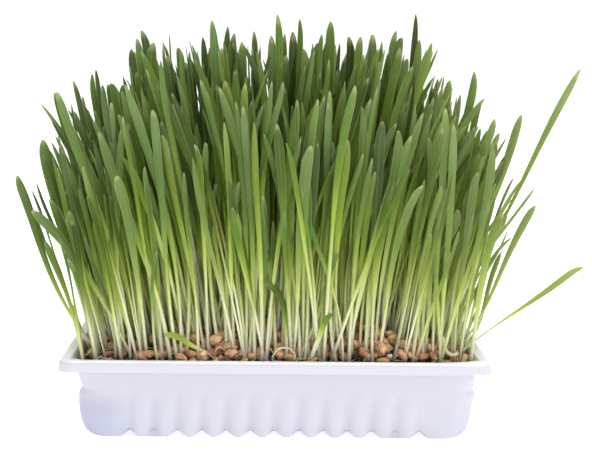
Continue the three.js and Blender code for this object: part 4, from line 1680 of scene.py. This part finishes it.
def add_camera():
    data = bpy.data.cameras.new("camera")
    data.lens = CAMERA_LENS
    data.sensor_width = SENSOR_WIDTH
    camera = new_object("camera", data)
    turned = (
        Matrix.Rotation(CAMERA_YAW, 4, "Z")
        @ Matrix.Rotation(math.pi / 2 + CAMERA_PITCH, 4, "X")
        @ Matrix.Rotation(CAMERA_ROLL, 4, "Z")
    )
    camera.matrix_world = Matrix.Translation(CAMERA_PLACE) @ turned
    bpy.context.scene.camera = camera


# Soft square lights: place in metres, size and power. They face the middle of the object.
LIGHTS = {
    "key light": ((0.7, -1.65, 0.5), 0.8, 3),
    "low light": ((0.1, -1.6, 0.13), 0.7, 4.9),
    "left light": ((-1.4, -0.3, 0.9), 0.8, 4),
    "right light": ((1.4, -0.6, 0.8), 0.8, 7.4),
    "top light": ((0, -0.1, 1.7), 1.2, 21),
}
LIT_PLACE = (0, 0, 0.09)
ROOM_LIGHT = 0.4
HORIZON_LIGHT = 1.1
HORIZON_BAND = (0.12, 0.3)  # how high it is fully bright and where it has faded, out of 1
FLOOR_REACH = 6.0
FLOOR_GLOW = 0.5
FAR_FLOOR_GLOW = 0.72
FLOOR_BAND = (0.3, 1.4)  # metres from the middle between which the glow changes


def add_light(name, place, size, power):
    data = bpy.data.lights.new(name, "AREA")
    data.size = size
    data.energy = power
    light = new_object(name, data)
    light.location = place
    light.rotation_euler = (Vector(LIT_PLACE) - Vector(place)).to_track_quat("-Z", "Y").to_euler()


def add_room():
    """A white room, brightest at the height of the eye."""
    world = bpy.data.worlds.new("white room")
    world.use_nodes = True
    bpy.context.scene.world = world
    n = Nodes(world.node_tree)
    up = n.parts(n.add("ShaderNodeTexCoord")["Generated"])[2]
    far = n.smooth(n.unsigned(up), *HORIZON_BAND)
    background = n.tree.nodes["Background"]
    background.inputs["Color"].default_value = (1, 1, 1, 1)
    n.join(background.inputs["Strength"], n.blend(far, HORIZON_LIGHT, ROOM_LIGHT))


def add_stage():
    """A white glowing floor, a white room and soft lights."""
    corners = [(x * FLOOR_REACH, y * FLOOR_REACH, 0) for x, y in ((-1, -1), (1, -1), (1, 1), (-1, 1))]
    mesh = new_mesh("floor", corners, faces=[(0, 1, 2, 3)])
    floor = new_object("floor", mesh)
    white = Surface("white floor", Roughness=0.9, Base_Color=paint(250, 250, 250))
    white.set("Emission Color", (1, 1, 1, 1))
    away = white.maths("LENGTH", white.place())
    glow = white.smooth(away, *FLOOR_BAND, FLOOR_GLOW, FAR_FLOOR_GLOW)
    white.set("Emission Strength", glow)
    mesh.materials.append(white.material)
    add_room()
    bpy.context.scene.view_settings.view_transform = "Standard"
    for name, light in LIGHTS.items():
        add_light(name, *light)


def main():
    mottle = mottle_group()
    green = leaf_finish("young wheat leaf", GREEN_STOPS, paint(118, 122, 84), browned=0.42)
    pale = leaf_finish("broken leaf", PALE_STOPS, paint(190, 200, 150))
    root = dusty_finish(
        mottle, "pale root", 0.6, paint(226, 214, 186), paint(176, 150, 112), 0.6, 260.0, 0.3, 0.3 * MM
    )
    white = dusty_finish(
        mottle, "perlite", 0.85, paint(252, 250, 246), paint(190, 178, 160), 0.4, 900.0, 0.9, 0.6 * MM
    )
    leaf = leaf_tree()
    add_camera()
    add_stage()
    add_tray(tray_finish(mottle))
    add_bed(leaf, soil_finish(mottle), grain_finish(mottle), root, white)
    add_grass(leaf, green, pale)


main()
